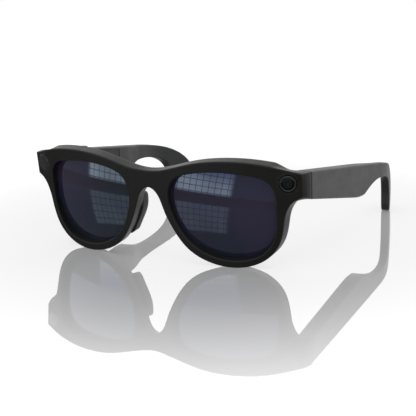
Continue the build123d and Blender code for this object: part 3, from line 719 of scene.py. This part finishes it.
def makeSky():
    world = bpy.data.worlds.new("studioSky")
    world.use_nodes = True
    tree = world.node_tree
    out = tree.nodes["World Output"]
    background = tree.nodes["Background"]
    coords = addNode(tree, "ShaderNodeTexCoord").outputs["Generated"]
    split = addNode(tree, "ShaderNodeSeparateXYZ")
    tree.links.new(coords, split.inputs["Vector"])
    rise = mapRange(tree, split.outputs["Z"], -0.1, 0.1, stage["skyLow"], stage["sky"])
    behind = mapRange(tree, split.outputs["Y"], 0.15, 0.75, 0.0, stage["skyRear"])
    gloss = mathNode(tree, "MAXIMUM", rise, behind)
    path = addNode(tree, "ShaderNodeLightPath")
    strength = addNode(tree, "ShaderNodeMix", data_type="FLOAT")
    tree.links.new(path.outputs["Is Glossy Ray"], strength.inputs["Factor"])
    strength.inputs["A"].default_value = stage["soft"]
    tree.links.new(gloss, strength.inputs["B"])
    seen = addNode(tree, "ShaderNodeMix", data_type="FLOAT")
    tree.links.new(path.outputs["Is Camera Ray"], seen.inputs["Factor"])
    tree.links.new(strength.outputs["Result"], seen.inputs["A"])
    seen.inputs["B"].default_value = stage["sky"]
    background.inputs["Color"].default_value = (1, 1, 1, 1)
    tree.links.new(seen.outputs["Result"], background.inputs["Strength"])
    tree.links.new(background.outputs["Background"], out.inputs["Surface"])
    bpy.context.scene.world = world


def makeSoftBox():
    data = bpy.data.lights.new("softBox", "AREA")
    data.shape = "RECTANGLE"
    data.size, data.size_y = stage["boxSize"]
    data.energy = stage["boxPower"]
    box = addObject("softBox", data)
    box.location = stage["boxSpot"]
    box.rotation_euler = (-box.location).to_track_quat("-Z", "Y").to_euler()
    box.visible_glossy = False


def makeRoomDome():
    radius = stage["domeRadius"] / mm
    verts, faces = [], []
    turns = [math.radians(t) for t in range(-30, 96, 6)]  # from straight ahead, towards -X
    rises = [math.radians(e) for e in range(-62, 5, 6)]
    for e in rises:
        for t in turns:
            verts.append((-math.sin(t) * math.cos(e) * radius, -math.cos(t) * math.cos(e) * radius,
                          math.sin(e) * radius))
    count = len(turns)
    for r in range(len(rises) - 1):
        for i in range(count - 1):
            a = r * count + i
            faces.append((a, a + 1, a + 1 + count, a + count))
    dome = toObject("studioRoom", verts, faces)
    material = bpy.data.materials.new("studioRoom")
    material.use_nodes = True
    tree = material.node_tree
    tree.nodes.remove(tree.nodes["Principled BSDF"])
    coords = objectCoords(tree)
    split = addNode(tree, "ShaderNodeSeparateXYZ")
    tree.links.new(coords, split.inputs["Vector"])
    degree = 180 / math.pi
    turn = times(tree, mathNode(tree, "ARCTAN2", times(tree, split.outputs["X"], -1.0),
                                times(tree, split.outputs["Y"], -1.0)), degree)
    height = mathNode(tree, "DIVIDE", split.outputs["Z"], stage["domeRadius"])
    rise = times(tree, mathNode(tree, "ARCSINE", height, 0.0), degree)

    def band(value, low, high, soft=0.6):
        return times(tree, mapRange(tree, value, low - soft, low + soft),
                        mapRange(tree, value, high + soft, high - soft))

    def bars(value, pitch, width):
        step = mathNode(tree, "MODULO", plus(tree, value, 200.0), pitch)
        return mathNode(tree, "LESS_THAN", step, width)
    slant = plus(tree, turn, times(tree, rise, 0.3))
    level = mathNode(tree, "SUBTRACT", rise, times(tree, turn, 0.1))
    lines = mathNode(tree, "MAXIMUM", bars(slant, 3.1, 0.27), bars(level, 2.6, 0.25))
    clearPane = mathNode(tree, "SUBTRACT", 1.0, lines)
    wide = mathNode(tree, "MAXIMUM", band(slant, 26.0, 51.0, 1.4), band(slant, -3.0, 24.0, 1.4))
    above = times(tree, wide, band(level, -15.6, 4.0))
    below = times(tree, wide, band(level, -33.0, -20.6))
    patches = noiseNode(tree, coords, 3.2, 2.0, 0.5)
    colour = mixColour(tree, band(level, -20.0, 20.0, 3.0), (0.15, 0.15, 0.17), (0.24, 0.25, 0.29))
    colour = mixColour(tree, times(tree, patches, 0.5), colour, (0.15, 0.19, 0.16))
    colour = mixColour(tree, band(level, -20.4, -15.8, 0.4), colour, (0.16, 0.15, 0.12))
    cloudy = times(tree, patches, 1.1)
    paneLow = times(tree, times(tree, below, clearPane), cloudy)
    colour = mixColour(tree, paneLow, colour, (0.75, 0.85, 0.85))
    upper = band(level, -7.0, 30.0, 5.0)
    pane = mixColour(tree, upper, (2.2, 2.6, 2.5), (0.7, 0.85, 1.7))
    paneHigh = times(tree, times(tree, above, clearPane), plus(tree, cloudy, 0.15))
    colour = mixColour(tree, paneHigh, colour, pane)
    emission = addNode(tree, "ShaderNodeEmission")
    tree.links.new(colour, emission.inputs["Color"])
    emission.inputs["Strength"].default_value = 1.0
    tree.links.new(emission.outputs["Emission"], tree.nodes["Material Output"].inputs["Surface"])
    dome.data.materials.append(material)
    dome.visible_camera = False
    dome.visible_diffuse = False
    dome.visible_shadow = False
    dome.visible_transmission = False


makeFloor()
makeSky()
makeSoftBox()
makeRoomDome()
bpy.context.scene.view_settings.view_transform = "Standard"
print("stage and camera ready")


# ---- front ----
def facePoint(x, v, depth=0.0):
    sag = face["bow"] - math.sqrt(face["bow"] ** 2 - x * x) + depth
    return Vector((x, faceY - v * sinLean + sag * cosLean, v * cosLean + sag * sinLean))


def eyeFrame(x, v):
    turn = math.asin(x / face["bow"])
    outward = Vector((math.sin(turn), -math.cos(turn) * cosLean, -math.cos(turn) * sinLean))
    return facePoint(x, v), outward


def frontPlace(x, v, share, off):
    reach = abs(x)
    sign = 1 if x >= 0 else -1
    near = facePoint(x, v)
    inner = face["bow"] - face["rimDepth"]
    depth = (face["bow"] - math.sqrt(inner ** 2 - x * x)) - (face["bow"] - math.sqrt(face["bow"] ** 2 - x * x))
    back = near + Vector((0, cosLean, sinLean)) * depth
    rise = min((v - face["endBottom"]) / (face["endTop"] - face["endBottom"]), 1.0)
    seam = Vector((x, seamY - 0.12, face["seamBottom"] + rise * face["seamHeight"]))
    mix = smoothStep(reach, 60.5, 66.0) * smoothStep(v, 30.5, 35.0)
    far = back.lerp(seam, mix)
    way = (far - near)
    spot = near + way * share + way.normalized() * off
    pull = face["cornerInset"] * smoothStep(reach, 64.0, halfWidth) * (1 - share) ** 1.7
    spot.x -= sign * pull
    half = face["scoopWidth"] / 2
    if reach < half:
        radius = (half ** 2 + face["scoopDepth"] ** 2) / (2 * face["scoopDepth"])
        dip = math.sqrt(radius ** 2 - x * x) - (radius - face["scoopDepth"])
        spot += Vector((0, cosLean, sinLean)) * dip * (1 - share)
    return spot


eye = {
    "x": 68.6,
    "v": 41.0,
    "bore": (4.3, 1.2),
    "well": (3.9, 4.2),
    "bezelOut": 3.82,
    "bezelIn": 3.07,
    "throat": 2.48,
    "proud": 0.28,
    "windowRadius": 2.99,
    "elementRadius": 1.3,
    "lightRadius": 4.22,
}


def makeFront():
    brow = face["brow"]
    rim = face["rim"]
    top = smoothLine([(-x, v) for x, v in brow[:0:-1]] + brow, 260)
    low = smoothLine(rim + [(-x, v) for x, v in rim[-2::-1]], 420)
    right = straight(brow[-1], rim[0], 16)
    left = [(-x, v) for x, v in reversed(right)]
    outer = top + right + low + left
    opening = smoothLine(face["opening"], 260, closed=True)
    shell = slab("frontShell", outer, [opening, [(-x, v) for x, v in opening]], frontPlace, face["edge"], 1.6,
                 steps=4, walls=3)
    for sign in (1, -1):
        spot, outward = eyeFrame(sign * eye["x"], eye["v"])
        for radius, depth in (eye["bore"], eye["well"]):
            shaveOff(shell, lathe("cutter", [(radius, -3), (radius, depth)], spot, outward))
    sharpen(shell)
    finish(shell, "front", "frame_black", looks["frame_black"], "front_frame")


makeFront()
print("front shell made")


# ---- lenses ----
lensSizes = {"centre": (37.7, 25.0), "radius": 135.0, "thickness": 1.8, "recess": 2.0, "past": 0.95}


def makeLens(sign):
    centre, curve = lensSizes["centre"], lensSizes["radius"]
    outline = inset(turned(smoothLine(face["opening"], 220, closed=True)), -lensSizes["past"])
    turn = math.asin(centre[0] / face["bow"])
    reach = face["bow"] - lensSizes["recess"]
    ball = Vector((reach * math.sin(turn), centre[1], reach * math.cos(turn) - face["bow"]))
    ball -= Vector((math.sin(turn), 0, math.cos(turn))) * curve
    verts = []
    rings = 26
    for radius in (curve, curve - lensSizes["thickness"]):
        for r in range(rings + 1):
            for x, v in outline:
                a = centre[0] + (x - centre[0]) * r / rings
                b = centre[1] + (v - centre[1]) * r / rings
                z = ball.z + math.sqrt(radius ** 2 - (a - ball.x) ** 2 - (b - ball.y) ** 2)
                verts.append((sign * a, faceY - b * sinLean - z * cosLean, b * cosLean - z * sinLean))
    count = len(outline)
    layerSize = (rings + 1) * count
    faces = ringFaces(0, rings + 1, count) + ringFaces(layerSize, rings + 1, count)
    for i in range(count):
        a, b = rings * count + i, rings * count + (i + 1) % count
        faces.append((a, b, b + layerSize, a + layerSize))
    side = sideNames[sign]
    lens = toObject("lens_" + side + "_made", verts, faces)
    lens.data.set_sharp_from_angle(angle=math.radians(40))
    finish(lens, "front", "lens_tint", looks["lens_tint"], "lens_" + side)


for sign in (1, -1):
    makeLens(sign)
print("lenses made")


# ---- nose pads and brow cover ----
nosePad = {
    "outline": [(7.7, 27), (9.7, 20.2), (13.5, 13.4), (17.4, 9.6), (19.2, 11.2), (15.6, 16.6), (12.6, 23.2),
                (10.6, 29.8), (8.5, 30.6)],
    "depth": 4.4,
    "edge": 0.9,
}
browCover = {
    "line": [(0, 43.2), (10.6, 44.6), (18, 46.4), (26, 48.4), (38, 49.5), (52, 48.5), (60, 46.5),
             (64.4, 43.5)],
    "width": 3.1,
    "thickness": 1.0,
}


def behindFace(near, far):
    def place(x, v, share, off):
        return facePoint(x, v, near + (far - near) * share - off)
    return place


def makeNosePad(sign):
    ring = [(sign * x, v) for x, v in smoothLine(nosePad["outline"], 90, closed=True)]
    back = face["rimDepth"]

    def place(x, v, share, off):
        return facePoint(x, v, back + nosePad["depth"] * share + (0 if share < 0.5 else -off))
    side = sideNames[sign]
    pad = slab("nosePad_" + side, ring, [], place, nosePad["edge"], 1.0, steps=5, walls=3)
    finish(pad, "front", "pad_black", looks["pad_black"], "nose_pad_" + side)


def makeBrowCover():
    half = browCover["line"]
    line = smoothLine([(-x, v) for x, v in half[:0:-1]] + half, 160)
    sides = [[], []]
    for before, here, after in zip(line[:1] + line[:-1], line, line[1:] + line[-1:]):
        way = (Vector(after) - Vector(before)).normalized() * browCover["width"] / 2
        sides[0].append((here[0] - way.y, here[1] + way.x))
        sides[1].append((here[0] + way.y, here[1] - way.x))
    near = face["rimDepth"] - browCover["thickness"]
    cover = slab("browCover", sides[0] + sides[1][::-1], [], behindFace(near, face["rimDepth"]), 0.2, 1.5,
                 steps=3)
    finish(cover, "front", "cover_black", looks["cover_black"], "brow_cover")


for sign in (1, -1):
    makeNosePad(sign)
makeBrowCover()
print("pads and brow cover made")


# ---- camera and light ----
def makeEyes():
    spot, outward = eyeFrame(eye["x"], eye["v"])
    wide, inner, throat, proud = eye["bezelOut"], eye["bezelIn"], eye["throat"], eye["proud"]
    bezel = lathe("cameraBezel", [
        (throat, 2.5), (throat, 0.82), (inner, 0.8), (inner, -0.12), (inner + 0.06, -proud + 0.06),
        (inner + 0.16, -proud), (wide - 0.2, -proud), (wide - 0.06, -proud + 0.06), (wide, -proud + 0.2),
        (wide, 2.5), (throat, 2.5)], spot, outward)
    finish(bezel, "front", "bezel_black", looks["bezel_black"], "camera_bezel")
    wide = eye["windowRadius"]
    window = lathe("cameraWindow", [
        (0.001, 0.78), (wide, 0.78), (wide, 0.3), (wide - 0.05, 0.22), (wide * 0.8, 0.16),
        (wide * 0.5, 0.12), (wide * 0.2, 0.1), (0.001, 0.1)], spot, outward)
    finish(window, "front", "camera_glass", looks["camera_window"], "camera_window")
    barrel = lathe("cameraBarrel", [
        (1.38, 3.3), (1.38, 1.25), (1.55, 1.2), (1.6, 1.05), (1.75, 1.02), (1.8, 1.15), (1.95, 1.15),
        (2.0, 1.02), (2.3, 1.0), (2.4, 1.1), (2.4, 3.3), (1.38, 3.3)], spot, outward)
    finish(barrel, "front", "barrel_black", looks["barrel_black"], "camera_barrel")
    wide = eye["elementRadius"]
    element = lathe("cameraElement", [
        (0.001, 2.2), (wide, 2.2), (wide, 1.6), (wide * 0.9, 1.42), (wide * 0.7, 1.3), (wide * 0.4, 1.22),
        (0.001, 1.2)], spot, outward)
    finish(element, "front", "camera_glass", looks["camera_element"], "camera_lens_element")
    spot, outward = eyeFrame(-eye["x"], eye["v"])
    wide = eye["lightRadius"]
    glass = lathe("lightWindow", [
        (0.001, 1.19), (wide, 1.19), (wide, 0.24), (wide - 0.05, 0.15), (wide - 0.14, 0.1),
        (wide * 0.5, 0.1), (0.001, 0.1)], spot, outward)
    finish(glass, "front", "light_glass", looks["light_glass"], "light_window")


makeEyes()
print("camera and light made")

# ---- temples ----
temple = {
    "thickness": 7.8,
    "tipThickness": 4.6,
    "hook": 84.0,
    "bend": 89.0,
    "bendRadius": 64.0,
    "bendAngle": math.radians(17.5),
    "top": 46.5,
    "bottom": 33.4,
    "topSlope": 0.147,
    "bottomSlope": 0.206,
    "edge": 0.8,
    "notchHeight": 9.8,  # for the hinge
    "tail": [(0, 34.1), (14, 31.7), (27.5, 27.8), (34, 24.5), (40, 19.9), (43.8, 14.2), (44.3, 9.2), (42.2, 4),
             (38.7, 0.8), (35, 0.03), (31.6, 1.4), (29.7, 5), (29.2, 9.5), (27.8, 14.4), (24.2, 19.4),
             (18, 23), (9, 25.1), (0, 25.5), (-9, 24)],  # from the hook
}


def templeWidth(u):
    turn = temple["bendAngle"]
    centre = halfWidth - temple["bendRadius"]
    edges = []
    for radius in (temple["bendRadius"], temple["bendRadius"] - temple["tipThickness"]):
        lead = u - temple["bend"]
        if lead <= 0:
            x = centre + radius
        elif lead <= radius * math.sin(turn):
            x = centre + math.sqrt(radius ** 2 - lead ** 2)
        else:
            x = centre + radius * math.cos(turn) - (lead - radius * math.sin(turn)) * math.tan(turn)
        edges.append(x)
    taper = 1 - smoothStep(u, temple["hook"] - 18, temple["hook"])
    edges[1] -= (temple["thickness"] - temple["tipThickness"]) * taper
    return edges


def topZ(u):
    return temple["top"] - temple["topSlope"] * u


def bottomZ(u):
    return temple["bottom"] - temple["bottomSlope"] * u


bay = {
    "front": 12.8,
    "rear": 57.5,
    "wall": 2.0,
    "lap": 0.95,
    "corner": 1.2,
    "coverThickness": 1.4,
    "bossInset": 1.9,
}
grille = {
    "u": 49.3,
    "length": 8.0,
    "width": 1.8,
    "thickness": 0.6,
    "hole": 0.25,
    "columns": 9,
    "rows": 2,
    "portRadius": 0.4,
}
button = {"u": 27.5, "length": 9.6, "width": 3.4, "proud": 0.8, "sunk": 2.5, "play": 0.15, "edge": 0.35}
slider = {"front": 18.8, "length": 4.6, "height": 2.2, "travel": 2.2, "proud": 0.5, "play": 0.12}
leafSeat = {"depth": 1.22, "gap": 0.03, "start": 2.1}  # start is behind the pin
middleSlope = (temple["topSlope"] + temple["bottomSlope"]) / 2


def middleZ(u):
    return (temple["top"] + temple["bottom"]) / 2 - middleSlope * u


def bayRing(grow):
    front, rear, wall = bay["front"] - grow, bay["rear"] + grow, bay["wall"] - grow
    corners = [(front, bottomZ(front) + wall), (rear, bottomZ(rear) + wall), (rear, topZ(rear) - wall),
               (front, topZ(front) - wall)]
    return rounded(corners, bay["corner"])


def templePlane(sign):
    return lambda u, z, out: Vector((sign * (innerX - out), seamY + u, z))


def tiltedPlane(x, u, z, slope, outward):
    tilt = math.atan(slope)
    return onPlane((x, seamY + u, z), (0, math.cos(tilt), -math.sin(tilt)), outward(tilt))


def bottomPlane(sign, u):
    return tiltedPlane(sign * (halfWidth + innerX) / 2, u, bottomZ(u), temple["bottomSlope"],
                       lambda tilt: (0, -math.sin(tilt), -math.cos(tilt)))


def buttonPlane():
    u = button["u"]
    return tiltedPlane(-(halfWidth + innerX) / 2, u, topZ(u), temple["topSlope"],
                       lambda tilt: (0, math.sin(tilt), math.cos(tilt)))


def sliderPlane(u):
    return tiltedPlane(innerX, u, middleZ(u), middleSlope, lambda tilt: (-1, 0, 0))


def plateRing(length, width, radius, steps=6):
    x, y = length / 2, width / 2
    return rounded([(-x, -y), (x, -y), (x, y), (-x, y)], radius, steps)


def cutPlate(obj, ring, plane, near, far):
    shaveOff(obj, slab("cutter", ring, [], platePlace(plane, near, far), 0.01, 3.0, steps=1))


def box(low, high):
    xs, ys, zs = [sorted(pair) for pair in zip(low, high)]
    verts = [(x, y, z) for x in xs for y in ys for z in zs]
    faces = [(0, 1, 3, 2), (4, 6, 7, 5), (0, 4, 5, 1), (2, 3, 7, 6), (0, 2, 6, 4), (1, 5, 7, 3)]
    return toObject("cutter", verts, faces, smooth=False)


def makeShell(sign):
    side = sideNames[sign]
    hook = temple["hook"]
    top, bottom = temple["top"], temple["bottom"]
    rise = (hook - 20, topZ(hook - 20))
    belly = (54.0, bottomZ(54.0))
    heel = (hook - 17.8, 21.3)
    outline = [(0.2, top)] + straight((0.2, top), rise, 50)
    outline += smoothLine([rise] + [(hook + u, z) for u, z in temple["tail"]] + [heel], 330)
    outline += smoothLine([heel, (hook - 24, 21.4), belly], 14)[1:]
    outline += straight(belly, (0.2, bottom), 44) + [(0.2, bottom)]
    outline += straight((0.2, bottom), (0.2, top), 16)

    def place(u, z, share, off):
        near, far = templeWidth(u)
        return Vector((sign * (near + (far - near) * share - off), seamY + u, z))
    shell = slab("templeShell_" + side, outline, [], place, temple["edge"], 2.0, steps=4, walls=2)
    notchLow = pinSpot.z - 0.5
    seatStart = pinSpot.y + leafSeat["start"]
    shaveOff(shell, box((sign * 65, seamY - 1, notchLow),
                        (sign * (pinSpot.x + 2.1), seatStart, notchLow + temple["notchHeight"])))
    leafLow, leafHigh = [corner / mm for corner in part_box("hinge_temple_leaf_" + side)]
    gap = leafSeat["gap"]
    shaveOff(shell, box((sign * (innerX - 1), seatStart, leafLow.z - gap),
                        (sign * (innerX + leafSeat["depth"]), leafHigh.y + gap, leafHigh.z + gap)))
    cutPlate(shell, bayRing(bay["lap"] + 0.07), templePlane(sign), 1.0, -bay["coverThickness"] - 0.05)
    cutPlate(shell, plateRing(grille["length"] + 0.06, grille["width"] + 0.06, 0.25),
             bottomPlane(sign, grille["u"]), 1.0, -1.2)
    portLow, portHigh = [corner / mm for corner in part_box("microphone_" + side)]
    port = (portLow + portHigh) / 2
    shaveOff(shell, lathe("cutter", [(grille["portRadius"], -4), (grille["portRadius"], 1.2)], port,
                          (0, -0.2, -1), 24))
    if sign < 0:
        play = button["play"]
        ring = slotRing(button["length"] + 2 * play, button["width"] + 2 * play)
        cutPlate(shell, ring, buttonPlane(), 1.5, -2.4)
    sharpen(shell)
    finish(shell, "temple_" + side, "temple_black", looks["temple_black"], "temple_shell_" + side)


def makeCover(sign):
    side = sideNames[sign]
    cover = slab("templeCover_" + side, bayRing(bay["lap"]), [],
                 platePlace(templePlane(sign), -0.02, -bay["coverThickness"]), 0.22, 1.6, steps=3)
    for u in screwPlaces():
        spot = (sign * innerX, seamY + u, middleZ(u))
        shaveOff(cover, lathe("cutter", [(0.98, -1), (0.98, 0.62)], spot, (-sign, 0, 0), 32))
    if sign > 0:
        play = slider["play"]
        length = slider["length"] + slider["travel"] + 2 * play
        plane = sliderPlane(slider["front"] - play + length / 2)
        cutPlate(cover, plateRing(length, slider["height"] + 2 * play, 0.3), plane, 1.0, -3.0)
    sharpen(cover)
    finish(cover, "temple_" + side, "cover_black", looks["cover_black"], "temple_cover_" + side)


def screwPlaces():
    return (bay["front"] + bay["bossInset"], bay["rear"] - bay["bossInset"])


def makeButton():
    ring = slotRing(button["length"], button["width"])
    cap = slab("captureButton", ring, [], platePlace(buttonPlane(), button["proud"], -button["sunk"]),
               button["edge"], 0.5, steps=5, walls=2)
    finish(cap, "capture_button", "control_black", looks["control_black"], "capture_button")


def makeSlider():
    half = slider["length"] / 2
    plane = sliderPlane(slider["front"] + half)
    ring = plateRing(slider["length"], slider["height"], 0.35, 8)

    def place(x, y, share, off):
        ridge = 0.13 * math.cos(math.pi * 2 * x / half * 1.25) * (1 - smoothStep(abs(x), 1.5, 2.0))
        out = slider["proud"] - 1.9 * share + (off - 0.13 + ridge if share < 0.1 else off)
        return plane(x, y, out)
    cap = slab("powerSlider", ring, [], place, 0.2, 0.16, steps=4, walls=1)
    finish(cap, "power_slider", "control_black", looks["control_black"], "power_switch_slider")


# ---- repeated pieces by geometry nodes ----
def newTree(name, inputs):
    tree = bpy.data.node_groups.new(name, "GeometryNodeTree")
    tree.interface.new_socket("Geometry", in_out="INPUT", socket_type="NodeSocketGeometry")
    for label, kind in inputs:
        tree.interface.new_socket(label, in_out="INPUT", socket_type=kind)
    tree.interface.new_socket("Geometry", in_out="OUTPUT", socket_type="NodeSocketGeometry")
    return tree, tree.nodes.new("NodeGroupInput"), tree.nodes.new("NodeGroupOutput")


def linkAll(tree, rows):
    for source, output, target, socket in rows:
        tree.links.new(source.outputs[output], target.inputs[socket])


def runTree(obj, tree, values):
    modifier = obj.modifiers.new("made", "NODES")
    modifier.node_group = tree
    for item in tree.interface.items_tree:
        if item.item_type == "SOCKET" and item.in_out == "INPUT" and item.name in values:
            modifier[item.identifier] = values[item.name]
    bpy.context.view_layer.update()
    settle(obj)


def makeScrewTree():
    tree, start, end = newTree("screwSet", [
        ("Screw", "NodeSocketObject"), ("Turn Seed", "NodeSocketInt"), ("Material", "NodeSocketMaterial")])
    master = tree.nodes.new("GeometryNodeObjectInfo")
    axis = tree.nodes.new("GeometryNodeInputNamedAttribute")
    axis.data_type = "FLOAT_VECTOR"
    axis.inputs["Name"].default_value = "outward"
    align = tree.nodes.new("FunctionNodeAlignRotationToVector")
    align.axis = "Z"
    spin = tree.nodes.new("FunctionNodeRandomValue")
    spin.data_type = "FLOAT"
    spin.inputs[3].default_value = math.tau
    turn = tree.nodes.new("ShaderNodeCombineXYZ")
    rotate = tree.nodes.new("FunctionNodeRotateRotation")
    rotate.rotation_space = "LOCAL"
    place = tree.nodes.new("GeometryNodeInstanceOnPoints")
    realize = tree.nodes.new("GeometryNodeRealizeInstances")
    finishNode = tree.nodes.new("GeometryNodeSetMaterial")
    linkAll(tree, [
        (start, "Screw", master, "Object"), (start, "Turn Seed", spin, "Seed"),
        (axis, "Attribute", align, "Vector"), (spin, 1, turn, "Z"), (align, "Rotation", rotate, "Rotation"),
        (turn, "Vector", rotate, "Rotate By"), (start, "Geometry", place, "Points"),
        (master, "Geometry", place, "Instance"), (rotate, "Rotation", place, "Rotation"),
        (place, "Instances", realize, "Geometry"), (realize, "Geometry", finishNode, "Geometry"),
        (start, "Material", finishNode, "Material"), (finishNode, "Geometry", end, "Geometry")])
    return tree


def makeGrilleTree():
    tree, start, end = newTree("grilleHoles", [
        ("Tile", "NodeSocketObject"), ("Columns", "NodeSocketInt"), ("Rows", "NodeSocketInt"),
        ("Length", "NodeSocketFloat"), ("Width", "NodeSocketFloat"), ("Material", "NodeSocketMaterial")])
    grid = tree.nodes.new("GeometryNodeMeshGrid")
    master = tree.nodes.new("GeometryNodeObjectInfo")
    place = tree.nodes.new("GeometryNodeInstanceOnPoints")
    realize = tree.nodes.new("GeometryNodeRealizeInstances")
    merge = tree.nodes.new("GeometryNodeMergeByDistance")
    merge.inputs["Distance"].default_value = 0.01 * mm
    finishNode = tree.nodes.new("GeometryNodeSetMaterial")
    linkAll(tree, [
        (start, "Columns", grid, "Vertices X"), (start, "Rows", grid, "Vertices Y"),
        (start, "Length", grid, "Size X"), (start, "Width", grid, "Size Y"), (start, "Tile", master, "Object"),
        (grid, "Mesh", place, "Points"), (master, "Geometry", place, "Instance"),
        (place, "Instances", realize, "Geometry"), (realize, "Geometry", merge, "Geometry"),
        (merge, "Geometry", finishNode, "Geometry"), (start, "Material", finishNode, "Material"),
        (finishNode, "Geometry", end, "Geometry")])
    return tree


def makeScrewMaster(headRadius, headHeight, shankRadius, length):
    count = 36
    rings = [(0.001, 0.3, 0), (0.36, 0.3, 1), (0.4, 0.0, 1), (headRadius * 0.72, -0.01, 0),
             (headRadius * 0.93, 0.05, 0), (headRadius, 0.16, 0), (headRadius, headHeight, 0),
             (shankRadius, headHeight, 0)]
    thread = 14
    for i in range(thread):
        deep = headHeight + (length - headHeight - 0.3) * (i + 0.5) / thread
        rings.append((shankRadius * (1.0 if i % 2 else 0.86), deep, 0))
    rings += [(shankRadius * 0.8, length - 0.15, 0), (0.001, length, 0)]
    verts = []
    for radius, depth, lobed in rings:
        for i in range(count):
            a = math.tau * i / count
            r = radius * (1 + 0.16 * math.cos(6 * a)) if lobed else radius
            verts.append((r * math.cos(a), r * math.sin(a), -depth))
    master = toObject("screwMaster", verts, ringFaces(0, len(rings), count))
    master.data.set_sharp_from_angle(angle=math.radians(40))
    return master


def makeScrews(tree, master, spots, name, body, node, seed):
    mesh = bpy.data.meshes.new(name)
    mesh.from_pydata([Vector(spot) * mm for spot, outward in spots], [], [])
    mesh.attributes.new("outward", "FLOAT_VECTOR", "POINT")
    for value, (spot, outward) in zip(mesh.attributes["outward"].data, spots):
        value.vector = outward
    obj = addObject(name, mesh)
    runTree(obj, tree, {"Screw": master, "Turn Seed": seed, "Material": looks["screw_steel"]})
    finish(obj, body, "screw_steel", looks["screw_steel"], node)


def screwSpots(node, outward):
    obj = nodes[node]
    heights = sorted(v.co.z for v in obj.data.vertices)
    middle = (heights[0] + heights[-1]) / 2
    along = sorted(v.co.y for v in obj.data.vertices)
    half = (along[0] + along[-1]) / 2
    spread = heights[-1] - heights[0] > 2 * (along[-1] - along[0])
    groups = [[], []]
    for v in obj.data.vertices:
        groups[int(v.co.z > middle) if spread or outward[1] else int(v.co.y > half)].append(v.co)
    spots = []
    for group in groups:
        points = np.array([tuple(co) for co in group])
        centre = (points.min(axis=0) + points.max(axis=0)) / 2 / mm
        for axis in range(3):
            if outward[axis]:
                edge = points[:, axis].max() if outward[axis] > 0 else points[:, axis].min()
                centre[axis] = edge / mm
        spots.append((Vector(centre), Vector(outward)))
    return spots


def makeGrille(tree, sign):
    side = sideNames[sign]
    columns, rows = grille["columns"], grille["rows"]
    pitch = ((grille["length"] - 0.04) / columns, (grille["width"] - 0.04) / rows)
    count = 16
    verts, faces = [], []
    for z in (0.0, -grille["thickness"]):
        for i in range(count):
            a = math.tau * (i + 0.5) / count
            reach = 0.5 / max(abs(math.cos(a)), abs(math.sin(a)))
            verts.append((math.cos(a) * grille["hole"], math.sin(a) * grille["hole"], z))
            verts.append((math.cos(a) * reach * pitch[0], math.sin(a) * reach * pitch[1], z))
        for sx, sy in ((1, 1), (-1, 1), (-1, -1), (1, -1)):
            verts.append((sx * pitch[0] / 2, sy * pitch[1] / 2, z))
    layer = 2 * count + 4
    for z in (0, layer):
        for i in range(count):
            j = (i + 1) % count
            ring = [z + 2 * i, z + 2 * i + 1, z + 2 * j + 1, z + 2 * j]
            if i % 4 == 1:  # the square's corner lies between these two
                ring.insert(2, z + 2 * count + i // 4)
            faces.append(tuple(ring if z == 0 else reversed(ring)))
    for i in range(count):
        j = (i + 1) % count
        faces.append((2 * i, 2 * j, 2 * j + layer, 2 * i + layer))
    tile = toObject("grilleTile", verts, faces)
    obj = toObject("grille_" + side, [(0, 0, 0)], [])
    runTree(obj, tree, {"Tile": tile, "Columns": columns, "Rows": rows,
                        "Length": pitch[0] * (columns - 1) * mm, "Width": pitch[1] * (rows - 1) * mm,
                        "Material": looks["grille_black"]})
    bpy.data.objects.remove(tile)
    plane = bottomPlane(sign, grille["u"])
    edit = bmesh.new()
    edit.from_mesh(obj.data)
    bmesh.ops.remove_doubles(edit, verts=edit.verts, dist=0.01 * mm)
    rim = [e for e in edit.edges if e.is_boundary]
    bmesh.ops.bridge_loops(edit, edges=rim)
    for v in edit.verts:
        x, y, z = v.co / mm
        v.co = plane(x, y, z - 0.03) * mm
    bmesh.ops.recalc_face_normals(edit, faces=edit.faces)
    edit.to_mesh(obj.data)
    edit.free()
    sharpen(obj, 35)
    finish(obj, "temple_" + side, "grille_black", looks["grille_black"], "speaker_grille_" + side)


for sign in (1, -1):
    makeShell(sign)
    makeCover(sign)
makeButton()
makeSlider()
print("temples, covers and controls made")

screwTree = makeScrewTree()
grilleTree = makeGrilleTree()
for sign in (1, -1):
    side = sideNames[sign]
    makeGrille(grilleTree, sign)
    sets = [("hinge_front_screws_", "front", (0, 1, 0), 1.1, 0.5, 0.6, 2.4),
            ("hinge_temple_screws_", "temple_" + side, (-sign, 0, 0), 1.1, 0.5, 0.6, 2.4),
            ("cover_screws_", "temple_" + side, (-sign, 0, 0), 0.9, 0.5, 0.5, 3.0)]
    for row, (node, body, outward, headRadius, headHeight, shank, length) in enumerate(sets):
        master = makeScrewMaster(headRadius, headHeight, shank, length)
        spots = screwSpots(node + side, outward)
        makeScrews(screwTree, master, spots, node + "made_" + side, body, node + side, 3 * row + sign)
        bpy.data.objects.remove(master)
    for node, body, width in (("hinge_front_leaf_", "front", 0.15), ("hinge_pin_", "front", 0.1),
                              ("hinge_temple_leaf_", "temple_" + side, 0.15)):
        piece = softCopy(node + side, width)
        piece.name = node + "made_" + side
        finish(piece, body, "hinge_steel", looks["hinge_steel"], node + side)
print("screws, grilles and hinges made")
